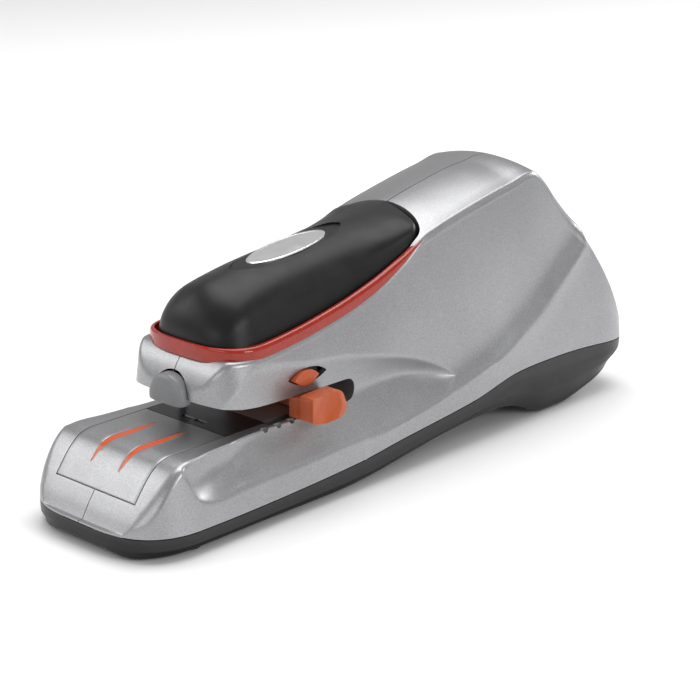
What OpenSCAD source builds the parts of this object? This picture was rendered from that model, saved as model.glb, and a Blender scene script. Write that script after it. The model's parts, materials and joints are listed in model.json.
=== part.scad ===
// Desktop electric stapler with a lit ring under its top pad, a depth slide and a pull-out magazine

/* [Body] */
// Overall length, front lip to stern
body_l = 258; // [215:1:310]
// Width of the shells at the parting line
body_w = 68; // [60:1:82]
// Height of the crown at the back
body_h = 98; // [88:1:118]
// Wall of the shells and the pan
wall = 2.4; // [1.8:0.1:3]
// How far each flank leans in, parting line to shoulder
lean = 9.8; // [6:0.1:12]
// Length of the base in front of the nose
snout_l = 38; // [30:1:46]
// How far the feet stand proud of the pan
foot_proud = 0.6; // [0.4:0.1:1.5]
// Rise of the long arch under the pan
arch_h = 7.6; // [4:0.1:9]
// Rise of the stern behind the rear feet
stern_h = 16; // [12:0.5:17]

/* [Throat] */
// Height of the paper deck
deck_z = 30.5; // [28:0.5:36]
// Clear height of the paper throat
throat_gap = 8; // [7:0.5:10]
// Depth of the throat, nose front to its round end
throat_d = 66.5; // [60:0.5:74]
// Distance from the nose front back to the driver blade
drive_back = 13.5; // [12:0.5:16]
// Half width of the anvil cover panel
cover_hw = 20; // [17:0.5:21]
// Gap around the cover, the pad and other trim
trim_gap = 0.35; // [0.2:0.05:0.6]

/* [Top pad] */
// Width of the pad at the ring
pad_w = 43.2; // [38:0.2:44]
// Height of the lit ring
ring_h = 3.8; // [3:0.1:5]
// Travel of the pad when pressed
pad_travel = 1.6; // [1:0.1:2]

/* [Staples] */
// Width over the staple legs
staple_w = 12.9; // [10:0.1:13.5]
// Height of a staple
staple_h = 6.3; // [5:0.1:7]
// Wire thickness
wire_t = 0.55; // [0.4:0.05:0.7]
// Length of strip left in the magazine
strip_l = 42; // [20:1:50]
// Travel of the driver blade
drive_travel = 14; // [12:0.5:15]
// How far the magazine drawer pulls out
drawer_travel = 60; // [40:1:65]

/* [Drive train] */
// Length of the front arm of the drive lever
lever_front = 88; // [70:1:120]
// Length of the rear arm of the drive lever
lever_rear = 30; // [26:1:34]
// Turn of the cam wheel for one full press
cam_turn = 200; // [150:10:220]
// Radius of the follower roller
roller_r = 4; // [3:0.5:5]
// Diameter of the lever pin and cam shaft
shaft_d = 6; // [4:0.5:7]
// Running clearance on shafts, on the radius
run_gap = 0.04; // [0.02:0.01:0.08]
// Gap between pieces that slide past each other
slide_gap = 0.35; // [0.3:0.05:0.5]
// Teeth on the motor pinion
pinion_t = 10; // [8:1:14]
// Teeth on the large wheel of the first gear
first_t = 36; // [30:1:40]
// Teeth on the small wheels of both gears
small_t = 12; // [10:1:14]
// Teeth on the large wheel of the second gear
second_t = 36; // [30:1:40]
// Teeth on the cam gear
cam_t = 36; // [30:1:40]
// Diameter of the motor can
motor_d = 24; // [20:0.5:26]
// Length of the motor can
motor_l = 31; // [26:1:34]
// Thickness of the frame plates
plate_t = 1.2; // [0.8:0.1:1.6]

/* [Hidden] */
half_w = body_w / 2;
front_y = -body_l / 2;
rear_y = body_l / 2;
nose_y = front_y + snout_l;
throat_y = nose_y + throat_d;
drive_y = nose_y + drive_back;
ceil_z = deck_z + throat_gap;
head_h = body_h - ceil_z;
e = 0.01;

silver = "#b9bcc0";
black = "#1f2022";
orange = "#f0501e";
steel = "#9aa0a6";
dark_steel = "#5a5e63";
white = "#e6e6e0";
board_green = "#1f6b45";
brass = "#c9a24a";

// Styling lines: share of the length from the front, then share of a height
parting_line = [[0, 0.282], [0.184, 0.289], [0.374, 0.357], [0.459, 0.439], [0.618, 0.584],
    [0.707, 0.734], [0.797, 0.761], [0.87, 0.741], [0.959, 0.675], [1, 0.643]];
shoulder_line = [[0.145, 0.304], [0.238, 0.294], [0.3, 0.323], [0.351, 0.363], [0.405, 0.417],
    [0.458, 0.496], [0.507, 0.603], [0.542, 0.7], [0.572, 0.741], [0.61, 0.782], [0.671, 0.84],
    [0.734, 0.894], [0.785, 0.934], [0.812, 0.86], [0.839, 0.731], [0.892, 0.474], [0.943, 0.168],
    [0.978, -0.092], [1, -0.3]];
crown_line = [[0, 0], [0.45, 0], [0.507, 0.042], [0.542, 0.094], [0.572, 0.106], [0.63, 0.106],
    [0.7, 0.1], [0.75, 0.08], [0.785, 0.066], [0.85, 0.06], [0.92, 0.05], [1, 0.01]];
pad_line = [[0.176, 0.4], [0.182, 0.479], [0.196, 0.555], [0.223, 0.63], [0.254, 0.672],
    [0.3, 0.708], [0.378, 0.75], [0.448, 0.788], [0.514, 0.82], [0.572, 0.845]];
arch_line = [[0, 0], [0.34, 0], [0.42, 0.16], [0.49, 0.47], [0.59, 0.87], [0.69, 1], [0.735, 0.74],
    [0.775, 0.13], [0.79, 0], [1, 0]];
stern_line = [[0, 0], [0.835, 0], [0.88, 0.12], [0.932, 0.36], [0.963, 0.66], [1, 1]];
// Front slope of the deck: distance from the lip, then share of the deck height
slope_line = [[0, 0.23], [1.5, 0.29], [4.5, 0.452], [8.3, 0.63], [13.2, 0.833], [17.5, 0.951],
    [21.5, 0.993], [26, 1], [400, 1]];
// Side scoop: share of the length, lower edge, upper edge, valley, valley depth
scoop_low = [[0.09, 0.95], [0.096, 0.7], [0.108, 0.545], [0.14, 0.53], [0.18, 0.567], [0.24, 0.577],
    [0.3, 0.587], [0.36, 0.617], [0.42, 0.65], [0.486, 0.7], [0.55, 0.75], [0.578, 0.92]];
scoop_high = [[0.09, 0.02], [0.13, 0.02], [0.163, 0.075], [0.178, 0.136], [0.208, 0.208],
    [0.264, 0.198], [0.312, 0.178], [0.375, 0.155], [0.435, 0.103], [0.498, 0.032], [0.548, -0.067],
    [0.578, -0.168]];
scoop_deep = [[0.09, 0.3], [0.105, 2.2], [0.13, 4.2], [0.2, 4.6], [0.4, 4.8], [0.46, 4], [0.52, 2.6],
    [0.56, 1.2], [0.578, 0.2]];

function seg(pts, u, i = 0) = i >= len(pts) - 2 || u < pts[i + 1][0] ? i : seg(pts, u, i + 1);
function slope_at(pts, i) =
    let (a = max(i - 1, 0), b = min(i + 1, len(pts) - 1))
    (pts[b][1] - pts[a][1]) / (pts[b][0] - pts[a][0]);
function curve(pts, u) =
    let (i = seg(pts, u), h = pts[i + 1][0] - pts[i][0], t = max(0, min(1, (u - pts[i][0]) / h)),
        m0 = slope_at(pts, i) * h, m1 = slope_at(pts, i + 1) * h)
    pts[i][1] * (2 * t * t * t - 3 * t * t + 1) + m0 * (t * t * t - 2 * t * t + t)
        + pts[i + 1][1] * (3 * t * t - 2 * t * t * t) + m1 * (t * t * t - t * t);
function clip(t) = max(0, min(1, t));
function share(y) = (y - front_y) / body_l;
function parting(y) = deck_z * curve(parting_line, share(y));
function shoulder(y) = ceil_z + head_h * curve(shoulder_line, share(y));
function crown(y) = head_h * max(0, curve(crown_line, share(y)));
function pad_top(y) = ceil_z + head_h * curve(pad_line, share(y));
function deck_top(y) = deck_z * min(1, lookup(y - front_y, slope_line));
function pan_bottom(y) = foot_proud + arch_h * max(0, curve(arch_line, share(y)))
    + stern_h * max(0, curve(stern_line, share(y))) + 3.2 * pow(1 - clip((y - front_y) / 5), 2);
function front_plan(y) = pow(1 - pow(1 - clip((y - front_y) / 24), 2.2), 1 / 3.5);
function rear_plan(y) = pow(1 - pow(1 - clip((rear_y - y) / 22), 2.2), 1 / 7);
function nose_plan(y) = pow(1 - pow(1 - clip((y - nose_y) / 18), 2.2), 1 / 4.5);
function full_y(y) = min(y, front_y + 0.785 * body_l);
function flank(y, z) =
    half_w - lean * pow(clip((z - parting(y)) / (shoulder(full_y(y)) - parting(y))), 1.1);
function roof(x, y) =
    let (w = half_w - lean)
    shoulder(y) + crown(y) * (1 - pow(min(1, abs(x) / w), 2));
function nose_top(y) = ceil_z + head_h * lookup(y - nose_y, [[0, 0.1], [1.5, 0.17], [3.5, 0.236],
    [6.3, 0.296], [9, 1]]);

pad_y0 = nose_y + 8.9;
pad_y1 = front_y + 0.572 * body_l;
ring_y0 = nose_y + 6.3;
ring_y1 = pad_y1 - 8;
function pad_plan(y, g) =
    pow(1 - pow(1 - clip((y - pad_y0 + g) / 15), 2.2), 1 / 3.6)
    * pow(1 - pow(clip((y - pad_y1 + 9 - g) / 9), 2.2), 1 / 2.2);
function ring_plan(y) = pow(1 - pow(1 - clip((y - ring_y0) / 15), 2.2), 1 / 3.6);
function ring_top(y) = ring_h * (1 - pow(clip((y - ring_y1 + 40) / 40), 2.4));

function both(h) = concat(h, [for (p = h) [-p[0], p[1]]]);
function base_pts(y, g, drop) =
    let (p = front_plan(y), zt = deck_top(y - g) - drop, zp = parting(y) - (g > 0 ? 2 : 0),
        r = min(1.8, max(0.1, (zt - parting(y)) * 0.4)), w1 = max(0.3, flank(y, zt) * p - g),
        w0 = max(0.3, half_w * p - g))
    both([[w0, zp], [max(0.3, flank(y, zt - r) * p - g), max(zp + 0.1, zt - r)],
        [max(0.2, w1 - r * 0.3), max(zp + 0.2, zt - r * 0.3)], [max(0.1, w1 - r), max(zp + 0.3, zt)]]);
function head_pts(y, g, drop) =
    let (p = (y < 0 ? nose_plan(y) : rear_plan(y)), k = clip((y - full_y(y)) / 12),
        r = 2.2 + 5 * k, zs = min(shoulder(y), y < 0 ? nose_top(y) : 999), zt = zs - drop,
        zb = parting(y) - (g > 0 ? 2 : 0), c = crown(y), w1 = flank(y, zt),
        z1 = max(zt - r, zb + 0.2), z2 = max(zt - r * 0.3, zb + 0.3))
    both([[max(0.3, half_w * p - g), zb],
        [max(0.3, flank(y, mix(zb, zt, 0.5)) * p - g), max(zb + 0.1, mix(zb, zt, 0.5))],
        [max(0.3, flank(y, z1) * p - g), z1], [max(0.2, (w1 - r * 0.25) * p - g), z2],
        [max(0.1, (w1 - r) * p - g), max(zt, zb + 0.4) + c * 0.12 * (1 + k)],
        [max(0.1, w1 * 0.5 * p - g), max(zt, zb + 0.5) + c * 0.75],
        [0, max(zt, zb + 0.6) + c]]);
function pan_pts(y, g) =
    let (p = front_plan(y) * rear_plan(y), zb = pan_bottom(y), zt = parting(y) - (g > 0 ? 0 : 0.3), h = zt - zb,
        wt = half_w * p, wb = wt - 3.2 * p * clip(h / 8))
    both([[max(0.2, wt - g), zt + (g > 0 ? 3 : 0)], [max(0.2, wt - g - 0.4 * p), zb + max(g, h * 0.45)],
        [max(0.2, wb - g), zb + max(g, h * 0.12)], [max(0.1, wb - 1.6 - g), zb + g]]);
function roof_pts(y, up) =
    let (w = half_w - lean)
    both([[half_w + 4, 5], [half_w + 4, roof(w, y) + up], [w, roof(w, y) + up],
        [w * 0.8, roof(w * 0.8, y) + up], [w * 0.5, roof(w * 0.5, y) + up],
        [w * 0.25, roof(w * 0.25, y) + up], [0, roof(0, y) + up]]);
function pad_pts(y, g) =
    let (p = pad_plan(y, 0), w = max(0.3, pad_w / 2 * p - g), zt = pad_top(y) - g,
        zb = shoulder(y) - 6 - g * 3, k = clip((zt - shoulder(y)) / 14) * 1 + 0.15)
    both([[w, zb], [w, max(zb + 0.1, zt - 9 * k)], [w * 0.975, max(zb + 0.2, zt - 5 * k)],
        [w * 0.9, max(zb + 0.3, zt - 2.4 * k)], [w * 0.76, max(zb + 0.4, zt - 0.9 * k)],
        [w * 0.4, max(zb + 0.5, zt - 0.2 * k)], [0, max(zb + 0.6, zt)]]);
function ring_pts(y) =
    let (w = (half_w - lean) * ring_plan(y))
    both([[max(0.3, w), shoulder(y) - 4], [max(0.3, w), shoulder(y) + 0.6],
        [max(0.2, w - 0.6), shoulder(y) + max(0.7, ring_top(y) * 0.7)],
        [max(0.1, w - 1.5), shoulder(y) + max(0.8, ring_top(y))]]);
function scoop_pts(y, g) =
    let (u = share(y), zl = deck_z * curve(scoop_low, u), zh = ceil_z + head_h * curve(scoop_high, u),
        d = curve(scoop_deep, u), zm = (zl + zh) / 2, wl = flank(y, zl), wh = flank(y, zh),
        wm = flank(y, zm) - d, q = (zh - zl) / 2)
    [[half_w + 9, zl - g], [wl - g * 0.5, zl - g], [mix(wl, wm, 0.62) - g, mix(zl, zm, 0.4) - g * 0.3],
        [wm - g, zm - q * 0.22], [wm - g, zm + q * 0.22], [mix(wh, wm, 0.62) - g, mix(zh, zm, 0.4) + g * 0.3],
        [wh - g * 0.5, zh + g], [half_w + 9, zh + g]];
function mix(a, b, t) = a + (b - a) * t;

function pts_of(kind, y, g, drop) =
    kind == "base" ? base_pts(y, g, drop) : kind == "head" ? head_pts(y, g, drop)
    : kind == "pan" ? pan_pts(y, g) : kind == "roof" ? roof_pts(y, drop)
    : kind == "pad" ? pad_pts(y, g) : kind == "ring" ? ring_pts(y) : scoop_pts(y, g);

// Joins the sections of one kind at the stations ys into a solid
module chain(kind, ys, g = 0, drop = 0) {
    for (i = [0 : len(ys) - 2]) {
        a = [for (p = pts_of(kind, ys[i], g, drop)) [p[0], ys[i], p[1]]];
        b = [for (p = pts_of(kind, ys[i + 1], g, drop)) [p[0], ys[i + 1], p[1]]];
        c = concat(a, b);
        hull()
            polyhedron(points = c, faces = [[for (k = [0 : len(c) - 1]) k]]);
    }
}

function at_front(list) = [for (d = list) front_y + d];
function at_nose(list) = [for (d = list) nose_y + d];
function at_share(list) = [for (u = list) front_y + u * body_l];
function at_rear(list) = [for (d = list) rear_y - d];

base_ys = concat(at_front([1.4, 2.4, 4.5, 8.3, 13.2, 17.5, 21.5, 26]), at_share([0.2, 0.3, 0.4, 0.5]));
base_in = concat(at_front([7, 9.5, 13.2, 17.5, 21.5, 26]), at_share([0.2, 0.3, 0.4, 0.5]));
head_ys = concat(at_nose([0.1, 1.2, 3, 6.3, 9.1, 13, 18]), at_share([0.238, 0.3, 0.351, 0.405, 0.458,
    0.5, 0.52, 0.542, 0.572, 0.61, 0.67, 0.734, 0.785, 0.797, 0.812, 0.825, 0.839, 0.866, 0.892, 0.918]),
    at_rear([15, 9, 5, 2.4, 0.9, 0.1]));
head_in = concat(at_nose([2.6, 4, 6.3, 9.1, 13, 18]), at_share([0.238, 0.3, 0.351, 0.405, 0.458,
    0.5, 0.52, 0.542, 0.572, 0.61, 0.67, 0.734, 0.77]));
rear_in = concat(at_share([0.76, 0.79, 0.8, 0.825, 0.866, 0.892, 0.918]), at_rear([15, 9, 5.5]));
pan_ys = concat(at_front([0.05, 0.6, 1.8, 5, 9, 14, 19, 26]), at_share([0.2, 0.3, 0.34, 0.42, 0.49,
    0.59, 0.69, 0.735, 0.775, 0.79, 0.835, 0.88, 0.918]), at_rear([15, 9, 5, 2.4, 0.9, 0.1]));
pan_in = concat(at_front([3, 5, 9, 14, 19, 26]), at_share([0.2, 0.3, 0.34, 0.42, 0.49,
    0.59, 0.69, 0.735, 0.775, 0.79, 0.835, 0.88, 0.918]), at_rear([15, 9, 6]));
roof_ys = concat(at_nose([-2, 20]), at_share([0.3, 0.351, 0.405, 0.458, 0.5, 0.542, 0.572, 0.6]));
pad_ys = concat([for (d = [0.1, 0.5, 1.6, 3.6, 7, 11, 15]) pad_y0 + d], at_share([0.3, 0.378, 0.448,
    0.5, 0.53]), [for (d = [7, 5, 3, 1.4, 0.4, 0.05]) pad_y1 - d]);
pad_in = concat([for (d = [2.2, 3.6, 7, 11, 15]) pad_y0 + d], at_share([0.3, 0.378, 0.448, 0.5, 0.53]),
    [for (d = [7, 5, 3, 2]) pad_y1 - d]);
ring_ys = concat([for (d = [0.1, 0.6, 1.8, 4, 7, 11, 15]) ring_y0 + d], at_share([0.3, 0.351, 0.405,
    0.458, 0.5, 0.52]), [ring_y1]);
scoop_ys = at_share([0.09, 0.096, 0.108, 0.13, 0.155, 0.178, 0.208, 0.264, 0.312, 0.375, 0.435, 0.486,
    0.52, 0.55, 0.578]);

// Plan outline of the pad, grown by g
module pad_outline(g) {
    n = 20;
    ys = [for (i = [0 : n]) pad_y0 - g + (pad_y1 - pad_y0 + 2 * g) * (0.5 - 0.5 * cos(180 * i / n))];
    polygon(concat([for (y = ys) [(pad_w / 2 + g) * pad_plan(y, g), y]],
        [for (i = [n : -1 : 0]) [-(pad_w / 2 + g) * pad_plan(ys[i], g), ys[i]]]));
}

// Throat between deck and nose, grown by g
module throat(g) {
    translate([-half_w - 12, front_y - 5, deck_z - g])
        cube([body_w + 24, throat_y - throat_gap / 2 - front_y + 5, throat_gap + 2 * g]);
    translate([0, throat_y - throat_gap / 2, deck_z + throat_gap / 2])
        rotate([0, 90, 0])
            cylinder(r = throat_gap / 2 + g, h = body_w + 24, center = true, $fn = 32);
}

module scoops(g) {
    chain("scoop", scoop_ys, g);
    mirror([1, 0, 0])
        chain("scoop", scoop_ys, g);
}

// Case screws: x, y of the four posts
screw_x = half_w - 6.6;
screw_ys = [front_y + 0.26 * body_l, front_y + 0.42 * body_l, front_y + 0.64 * body_l, rear_y - 26];
post_r = 3.4;
screw_r = 1.25;

// Magazine and driver
mag_z = ceil_z + 0.4;
mag_hw = staple_w / 2 + 1.4;
mag_h = staple_h + 1.7;
mag_y0 = drive_y - 3.5;
mag_y1 = throat_y + 24;
rail_t = 0.8;
rail_hw = mag_hw + slide_gap + rail_t;
rail_top = mag_z + mag_h + slide_gap + rail_t;
arch_r = mag_hw + 1.1;
arch_top = ceil_z + 11.9;

// Drive train centres, in the y, z plane
mod_a = 0.6;
mod_b = 0.8;
mod_c = 1;
play = 0.1;
motor_y = rear_y - 34;
motor_z = deck_z + 6.2;
first_c = (pinion_t + first_t) * mod_a / 2 + play;
first_y = motor_y - first_c * cos(18);
first_z = motor_z + first_c * sin(18);
second_c = (small_t + second_t) * mod_b / 2 + play;
second_y = first_y - second_c * cos(13);
second_z = first_z + second_c * sin(13);
cam_c = (small_t + cam_t) * mod_c / 2 + play;
cam_y = second_y - cam_c * cos(13);
cam_z = second_z - cam_c * sin(13);
lever_swing = 2 * asin(drive_travel / 2 / lever_front);
lever_z = mag_z + mag_h + drive_travel / 2 + 4.1;
lever_y = drive_y + lever_front * cos(lever_swing / 2);

// Layers of the train, outward from the centre
plate_x = half_w - 20;
layer_b = plate_x + plate_t + 0.8;
layer_a = layer_b + 4;
gear_w = 3.4;
rear_arm = lever_swing / 2;
frame_z = 22;
rib_ys = [cam_y - 8, first_y - 4];

module base_pan() {
    color(black)
        difference() {
            union() {
                difference() {
                    chain("pan", pan_ys);
                    chain("pan", pan_in, wall);
                }
                for (y = rib_ys)
                    translate([-plate_x - 2, y - 2, pan_bottom(y) + 1])
                        cube([2 * plate_x + 4, 4, frame_z - pan_bottom(y) - 1]);
                for (y = screw_ys, s = [-1, 1])
                    translate([s * screw_x, y, pan_bottom(y) + 0.8])
                        cylinder(r = post_r, h = parting(y) - pan_bottom(y) - 0.8, $fn = 24);
                for (p = board_posts)
                    translate([p[0], p[1], 1.5])
                        cylinder(r = 3, h = board_z - 1.5, $fn = 24);
            }
            for (y = screw_ys, s = [-1, 1]) {
                translate([s * screw_x, y, -5])
                    cylinder(r = 2.6, h = 5 + pan_bottom(y) + 2.4, $fn = 32);
                translate([s * screw_x, y, 0])
                    cylinder(r = screw_r + 0.3, h = 40, $fn = 32);
            }
            for (p = board_posts)
                translate([p[0], p[1], board_z - 5])
                    cylinder(r = 1.2, h = 10, $fn = 24);
            for (y = rib_ys, s = [-1, 1])
                translate([s * (plate_x - 4), y, frame_z - 7])
                    cylinder(r = 1.2, h = 10, $fn = 24);
            for (p = feet_at)
                translate([p[0], p[1], -1])
                    cylinder(r = foot_r + 0.1, h = 1 + foot_h, $fn = 48);
            translate([inlet_x, inlet_y, inlet_z])
                rotate([-90, 0, 0])
                    cylinder(r = 4.9, h = 60, $fn = 48);
        }
}

foot_r = 5;
foot_h = 1.5;
feet_at = [[-24, front_y + 25], [24, front_y + 25], [-23, front_y + 0.811 * body_l],
    [23, front_y + 0.811 * body_l]];
module rubber_feet() {
    color("#2a2a2c")
        for (p = feet_at)
            translate([p[0], p[1], 0])
                cylinder(r = foot_r, h = foot_h, $fn = 48);
}

board_z = 7;
board_y0 = front_y + 40;
board_posts = [[-17, board_y0 + 5], [17, board_y0 + 5], [-17, board_y0 + 59], [17, board_y0 + 59]];
module circuit_board() {
    color(board_green)
        difference() {
            translate([-21, board_y0, board_z])
                cube([42, 64, 1.6]);
            for (p = board_posts)
                translate([p[0], p[1], board_z - 1])
                    cylinder(r = 1.4, h = 5, $fn = 32);
        }
}
module control_chip() {
    color("#26262a") {
        translate([-7, board_y0 + 24, board_z + 1.6])
            cube([14, 14, 1.8]);
        for (i = [0 : 6])
            translate([-9, board_y0 + 25.2 + i * 1.9, board_z + 1.6])
                cube([18, 0.8, 0.6]);
    }
}
module storage_capacitor() {
    color("#2b3a66")
        translate([9, board_y0 + 50, board_z + 1.6])
            difference() {
                cylinder(r = 5, h = 13, $fn = 48);
                translate([0, 0, 12.6])
                    cylinder(r = 4, h = 1, $fn = 48);
            }
}
module board_screws() {
    color(steel)
        for (p = board_posts)
            translate([p[0], p[1], 0]) {
                translate([0, 0, board_z - 3.8])
                    cylinder(r = 1.05, h = 5.6, $fn = 32);
                translate([0, 0, board_z + 1.6])
                    cylinder(r = 2.1, h = 1.4, $fn = 32);
            }
}

inlet_x = -14;
inlet_y = rear_y - 20;
inlet_z = deck_z - 15.5;
plug_r = 2.75;
plug_depth = 9;
module power_inlet() {
    color("#161618")
        translate([inlet_x, inlet_y, inlet_z])
            rotate([-90, 0, 0])
                difference() {
                    union() {
                        translate([-4.6, -4.6, -2])
                            cube([9.2, 9.2, 6]);
                        translate([0, 0, 4 - e])
                            cylinder(r = 4.6, h = 8 + e, $fn = 48);
                    }
                    translate([0, 0, 12 - plug_depth])
                        cylinder(r = plug_r, h = 20, $fn = 48);
                }
}

module cover_region(g) {
    translate([-cover_hw - g, front_y - 5, 0])
        cube([2 * (cover_hw + g), anvil_y0 - front_y + 5, deck_z + throat_gap / 2]);
}
anvil_y0 = drive_y - 4;
anvil_y1 = drive_y + 14;
anvil_t = 2;

module stripes(g) {
    for (s = [-1, 1])
        linear_extrude(height = body_h)
            polygon(concat([for (t = [0 : 0.1 : 1]) stripe_at(s, t, 1.4 * sin(180 * t) + 0.2 + g)],
                [for (t = [1 : -0.1 : 0]) stripe_at(s, t, -1.4 * sin(180 * t) - 0.2 - g)]));
}
function stripe_at(s, t, w) = [s * 7 + w + 0.9 * sin(150 * t) - 0.5, front_y + 12.2 + 29 * t];

module cover_block(drop) {
    chain("base", [for (y = base_ys) if (y < front_y + 60) y], 0, drop);
}

module anvil_cover() {
    color(silver)
        difference() {
            intersection() {
                cover_block(0);
                cover_region(-trim_gap);
            }
            difference() {
                translate([0, -e, -2.2])
                    cover_block(0);
            }
            intersection() {
                translate([0, 0, -0.6])
                    difference() {
                        translate([-half_w, front_y, 0])
                            cube([body_w, 60, body_h]);
                        cover_block(0);
                    }
                stripes(0.05);
            }
            translate([-half_w, front_y - 5, -5])
                cube([body_w, 13, 5 + deck_z * 0.6]);
            translate([-half_w, anvil_y0 - trim_gap, 0])
                cube([body_w, 60, body_h]);
        }
}
module cover_stripes() {
    color(orange)
        intersection() {
            difference() {
                cover_block(0);
                translate([0, 0, -0.6])
                    cover_block(0);
            }
            stripes(0);
        }
}
module anvil_plate() {
    color(dark_steel)
        difference() {
            translate([-cover_hw + trim_gap, anvil_y0, deck_z - anvil_t])
                cube([2 * (cover_hw - trim_gap), anvil_y1 - anvil_y0, anvil_t]);
            for (s = [-1, 1])
                translate([s * staple_w / 4 - 2.6, drive_y, deck_z + 0.4])
                    scale([1, 0.35, 0.35])
                        rotate([0, 90, 0])
                            cylinder(r = 3, h = 5.2, $fn = 24);
        }
}

module shell_outer() {
    chain("base", base_ys);
    chain("head", head_ys);
}

module shell_inner() {
    difference() {
        union() {
            chain("base", base_in, wall, wall + 2.4);
            chain("head", head_in, wall, wall);
            chain("head", rear_in, wall, wall * 2.2);
        }
        throat(wall);
        scoops(wall);
    }
    translate([-cover_hw, anvil_y1 + 2, deck_z - wall - 2.6])
        cube([2 * cover_hw, throat_y - anvil_y1 - 8, 2.6]);
}

module arch_cut() {
    translate([0, nose_y - 5, 0])
        rotate([-90, 0, 0])
            linear_extrude(height = 5 + drive_y - nose_y + 6)
                union() {
                    translate([0, -(arch_top - arch_r)])
                        circle(r = arch_r, $fn = 48);
                    translate([-arch_r, -(arch_top - arch_r)])
                        square([2 * arch_r, arch_top - arch_r - ceil_z + 1]);
                }
    translate([-rail_hw - slide_gap, nose_y - 5, ceil_z - 1])
        cube([2 * (rail_hw + slide_gap), throat_y - nose_y + 11, 5]);
}

eye_y = nose_y + 41;
eye_z = ceil_z + 6.3;
eye_l = 11.6;
eye_h = 5.2;
eye_travel = 3.6;
module eye(l, h, x0, x1) {
    rr = (l * l / 4 + h * h / 4) / h;
    translate([x0, 0, 0])
        rotate([90, 0, 90])
            linear_extrude(height = x1 - x0)
                intersection() {
                    translate([0, rr - h / 2])
                        circle(r = rr, $fn = 96);
                    translate([0, -rr + h / 2])
                        circle(r = rr, $fn = 96);
                }
}

stop_y = nose_y + 46.5;
knob_y = stop_y - 2;
knob_x = 27.6;
slide_range = 16.6;
slide_pitch = 6.25;
keel_x = 20.5;
keel_w = 3;
module shell(side) {
    intersection() {
        difference() {
            shell_outer();
            shell_inner();
            translate([0, 0, -e])
                throat(0);
            scoops(0);
            translate([0, 0, -0.02])
                cover_recess();
            translate([0, 0, ceil_z + 3])
                linear_extrude(height = body_h)
                    pad_outline(trim_gap);
            arch_cut();
            if (side > 0) {
                translate([0, eye_y + eye_travel / 2, eye_z])
                    eye(eye_l + eye_travel + 2.4, eye_h + 1.2, 15, half_w);
                translate([keel_x - keel_w / 2 - slide_gap, stop_y - slide_range - 3, deck_z - 6])
                    cube([keel_w + 2 * slide_gap, slide_range + 6, 10]);
                for (i = [0 : 3])
                    translate([25.5, stop_y - 6.2 - slide_pitch * i, deck_z])
                        rotate([0, 90, 0])
                            cylinder(r = 1.3, h = 5, center = true, $fn = 16);
            }
            translate([-15.8, sensor_y - 1.8, ceil_z - 2])
                cube([3.6, 9.5, 6]);
        }
        translate([side > 0 ? 0 : -100, -500, -5])
            cube([100, 1000, 300]);
    }
    if (side > 0) {
        translate([pad_posts[2][0], pad_posts[2][1], ceil_z + wall - e])
            cylinder(r = 3, h = spring_top - 8.4 - ceil_z - wall + e, $fn = 24);
        translate([pad_posts[1][0] - 3, pad_posts[1][1] - 3, spring_top - 3])
            cube([half_w - lean + 0.8 - pad_posts[1][0] + 3, 6, 3]);
    }
    if (side < 0)
        translate([pad_posts[0][0], pad_posts[0][1], ceil_z + wall - e])
            cylinder(r = 3, h = spring_top - 12 - ceil_z - wall + e, $fn = 24);
    for (y = screw_ys)
        difference() {
            union() {
                translate([side * screw_x, y, parting(y)])
                    cylinder(r = post_r, h = min(9, deck_z - parting(y) - 5), $fn = 24);
                translate([side > 0 ? screw_x : wall * 0.6 - half_w, y - 1.2, parting(y) + 0.4])
                    cube([half_w - wall * 0.6 - screw_x, 2.4, 3]);
            }
            translate([side * screw_x, y, parting(y) - 1])
                cylinder(r = screw_r + 0.2, h = 8, $fn = 32);
        }
}
module cover_recess() {
    difference() {
        cover_region(0);
        translate([0, 0, -2.2])
            cover_block(0);
    }
    translate([-cover_hw, anvil_y0 - 1, deck_z - anvil_t])
        cube([2 * cover_hw, anvil_y1 + trim_gap - anvil_y0 + 1, 10]);
}
module left_shell() {
    color(silver)
        shell(-1);
}
module right_shell() {
    color(silver)
        shell(1);
}

module light_ring() {
    color(orange)
        difference() {
            chain("ring", ring_ys);
            chain("roof", roof_ys, 0, 0);
            translate([0, 0, -10])
                linear_extrude(height = body_h + 50)
                    pad_outline(trim_gap);
        }
}
module top_pad() {
    color(black) {
        difference() {
            chain("pad", pad_ys);
            chain("roof", concat([nose_y - 2], [for (y = roof_ys) if (y > nose_y) y]), 0, -2.4);
            difference() {
                chain("pad", pad_in, 2);
                for (p = pad_posts)
                    translate([p[0], p[1], p[2]])
                        cylinder(r = 2.6, h = 60, $fn = 24);
            }
            badge_cut(0.15);
        }
    }
}
spring_top = ceil_z + 27;
pad_posts = [[-15, nose_y + 41, spring_top], [15, nose_y + 86, spring_top + 12], [15, nose_y + 41, spring_top - 2]];
badge_y = front_y + 0.372 * body_l;
badge_slope = atan2(pad_top(badge_y + 20) - pad_top(badge_y - 20), 40);
module badge_cut(g) {
    translate([0, badge_y, pad_top(badge_y) - 1])
        rotate([badge_slope, 0, 0])
            scale([1, 2.6, 1])
                cylinder(r = 7 + g, h = 12, $fn = 64);
}
module pad_badge() {
    color(steel)
        translate([0, badge_y, pad_top(badge_y) - 1])
            rotate([badge_slope, 0, 0])
                scale([1, 2.6, 1])
                    cylinder(r = 7, h = 0.7, $fn = 64);
}

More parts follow.
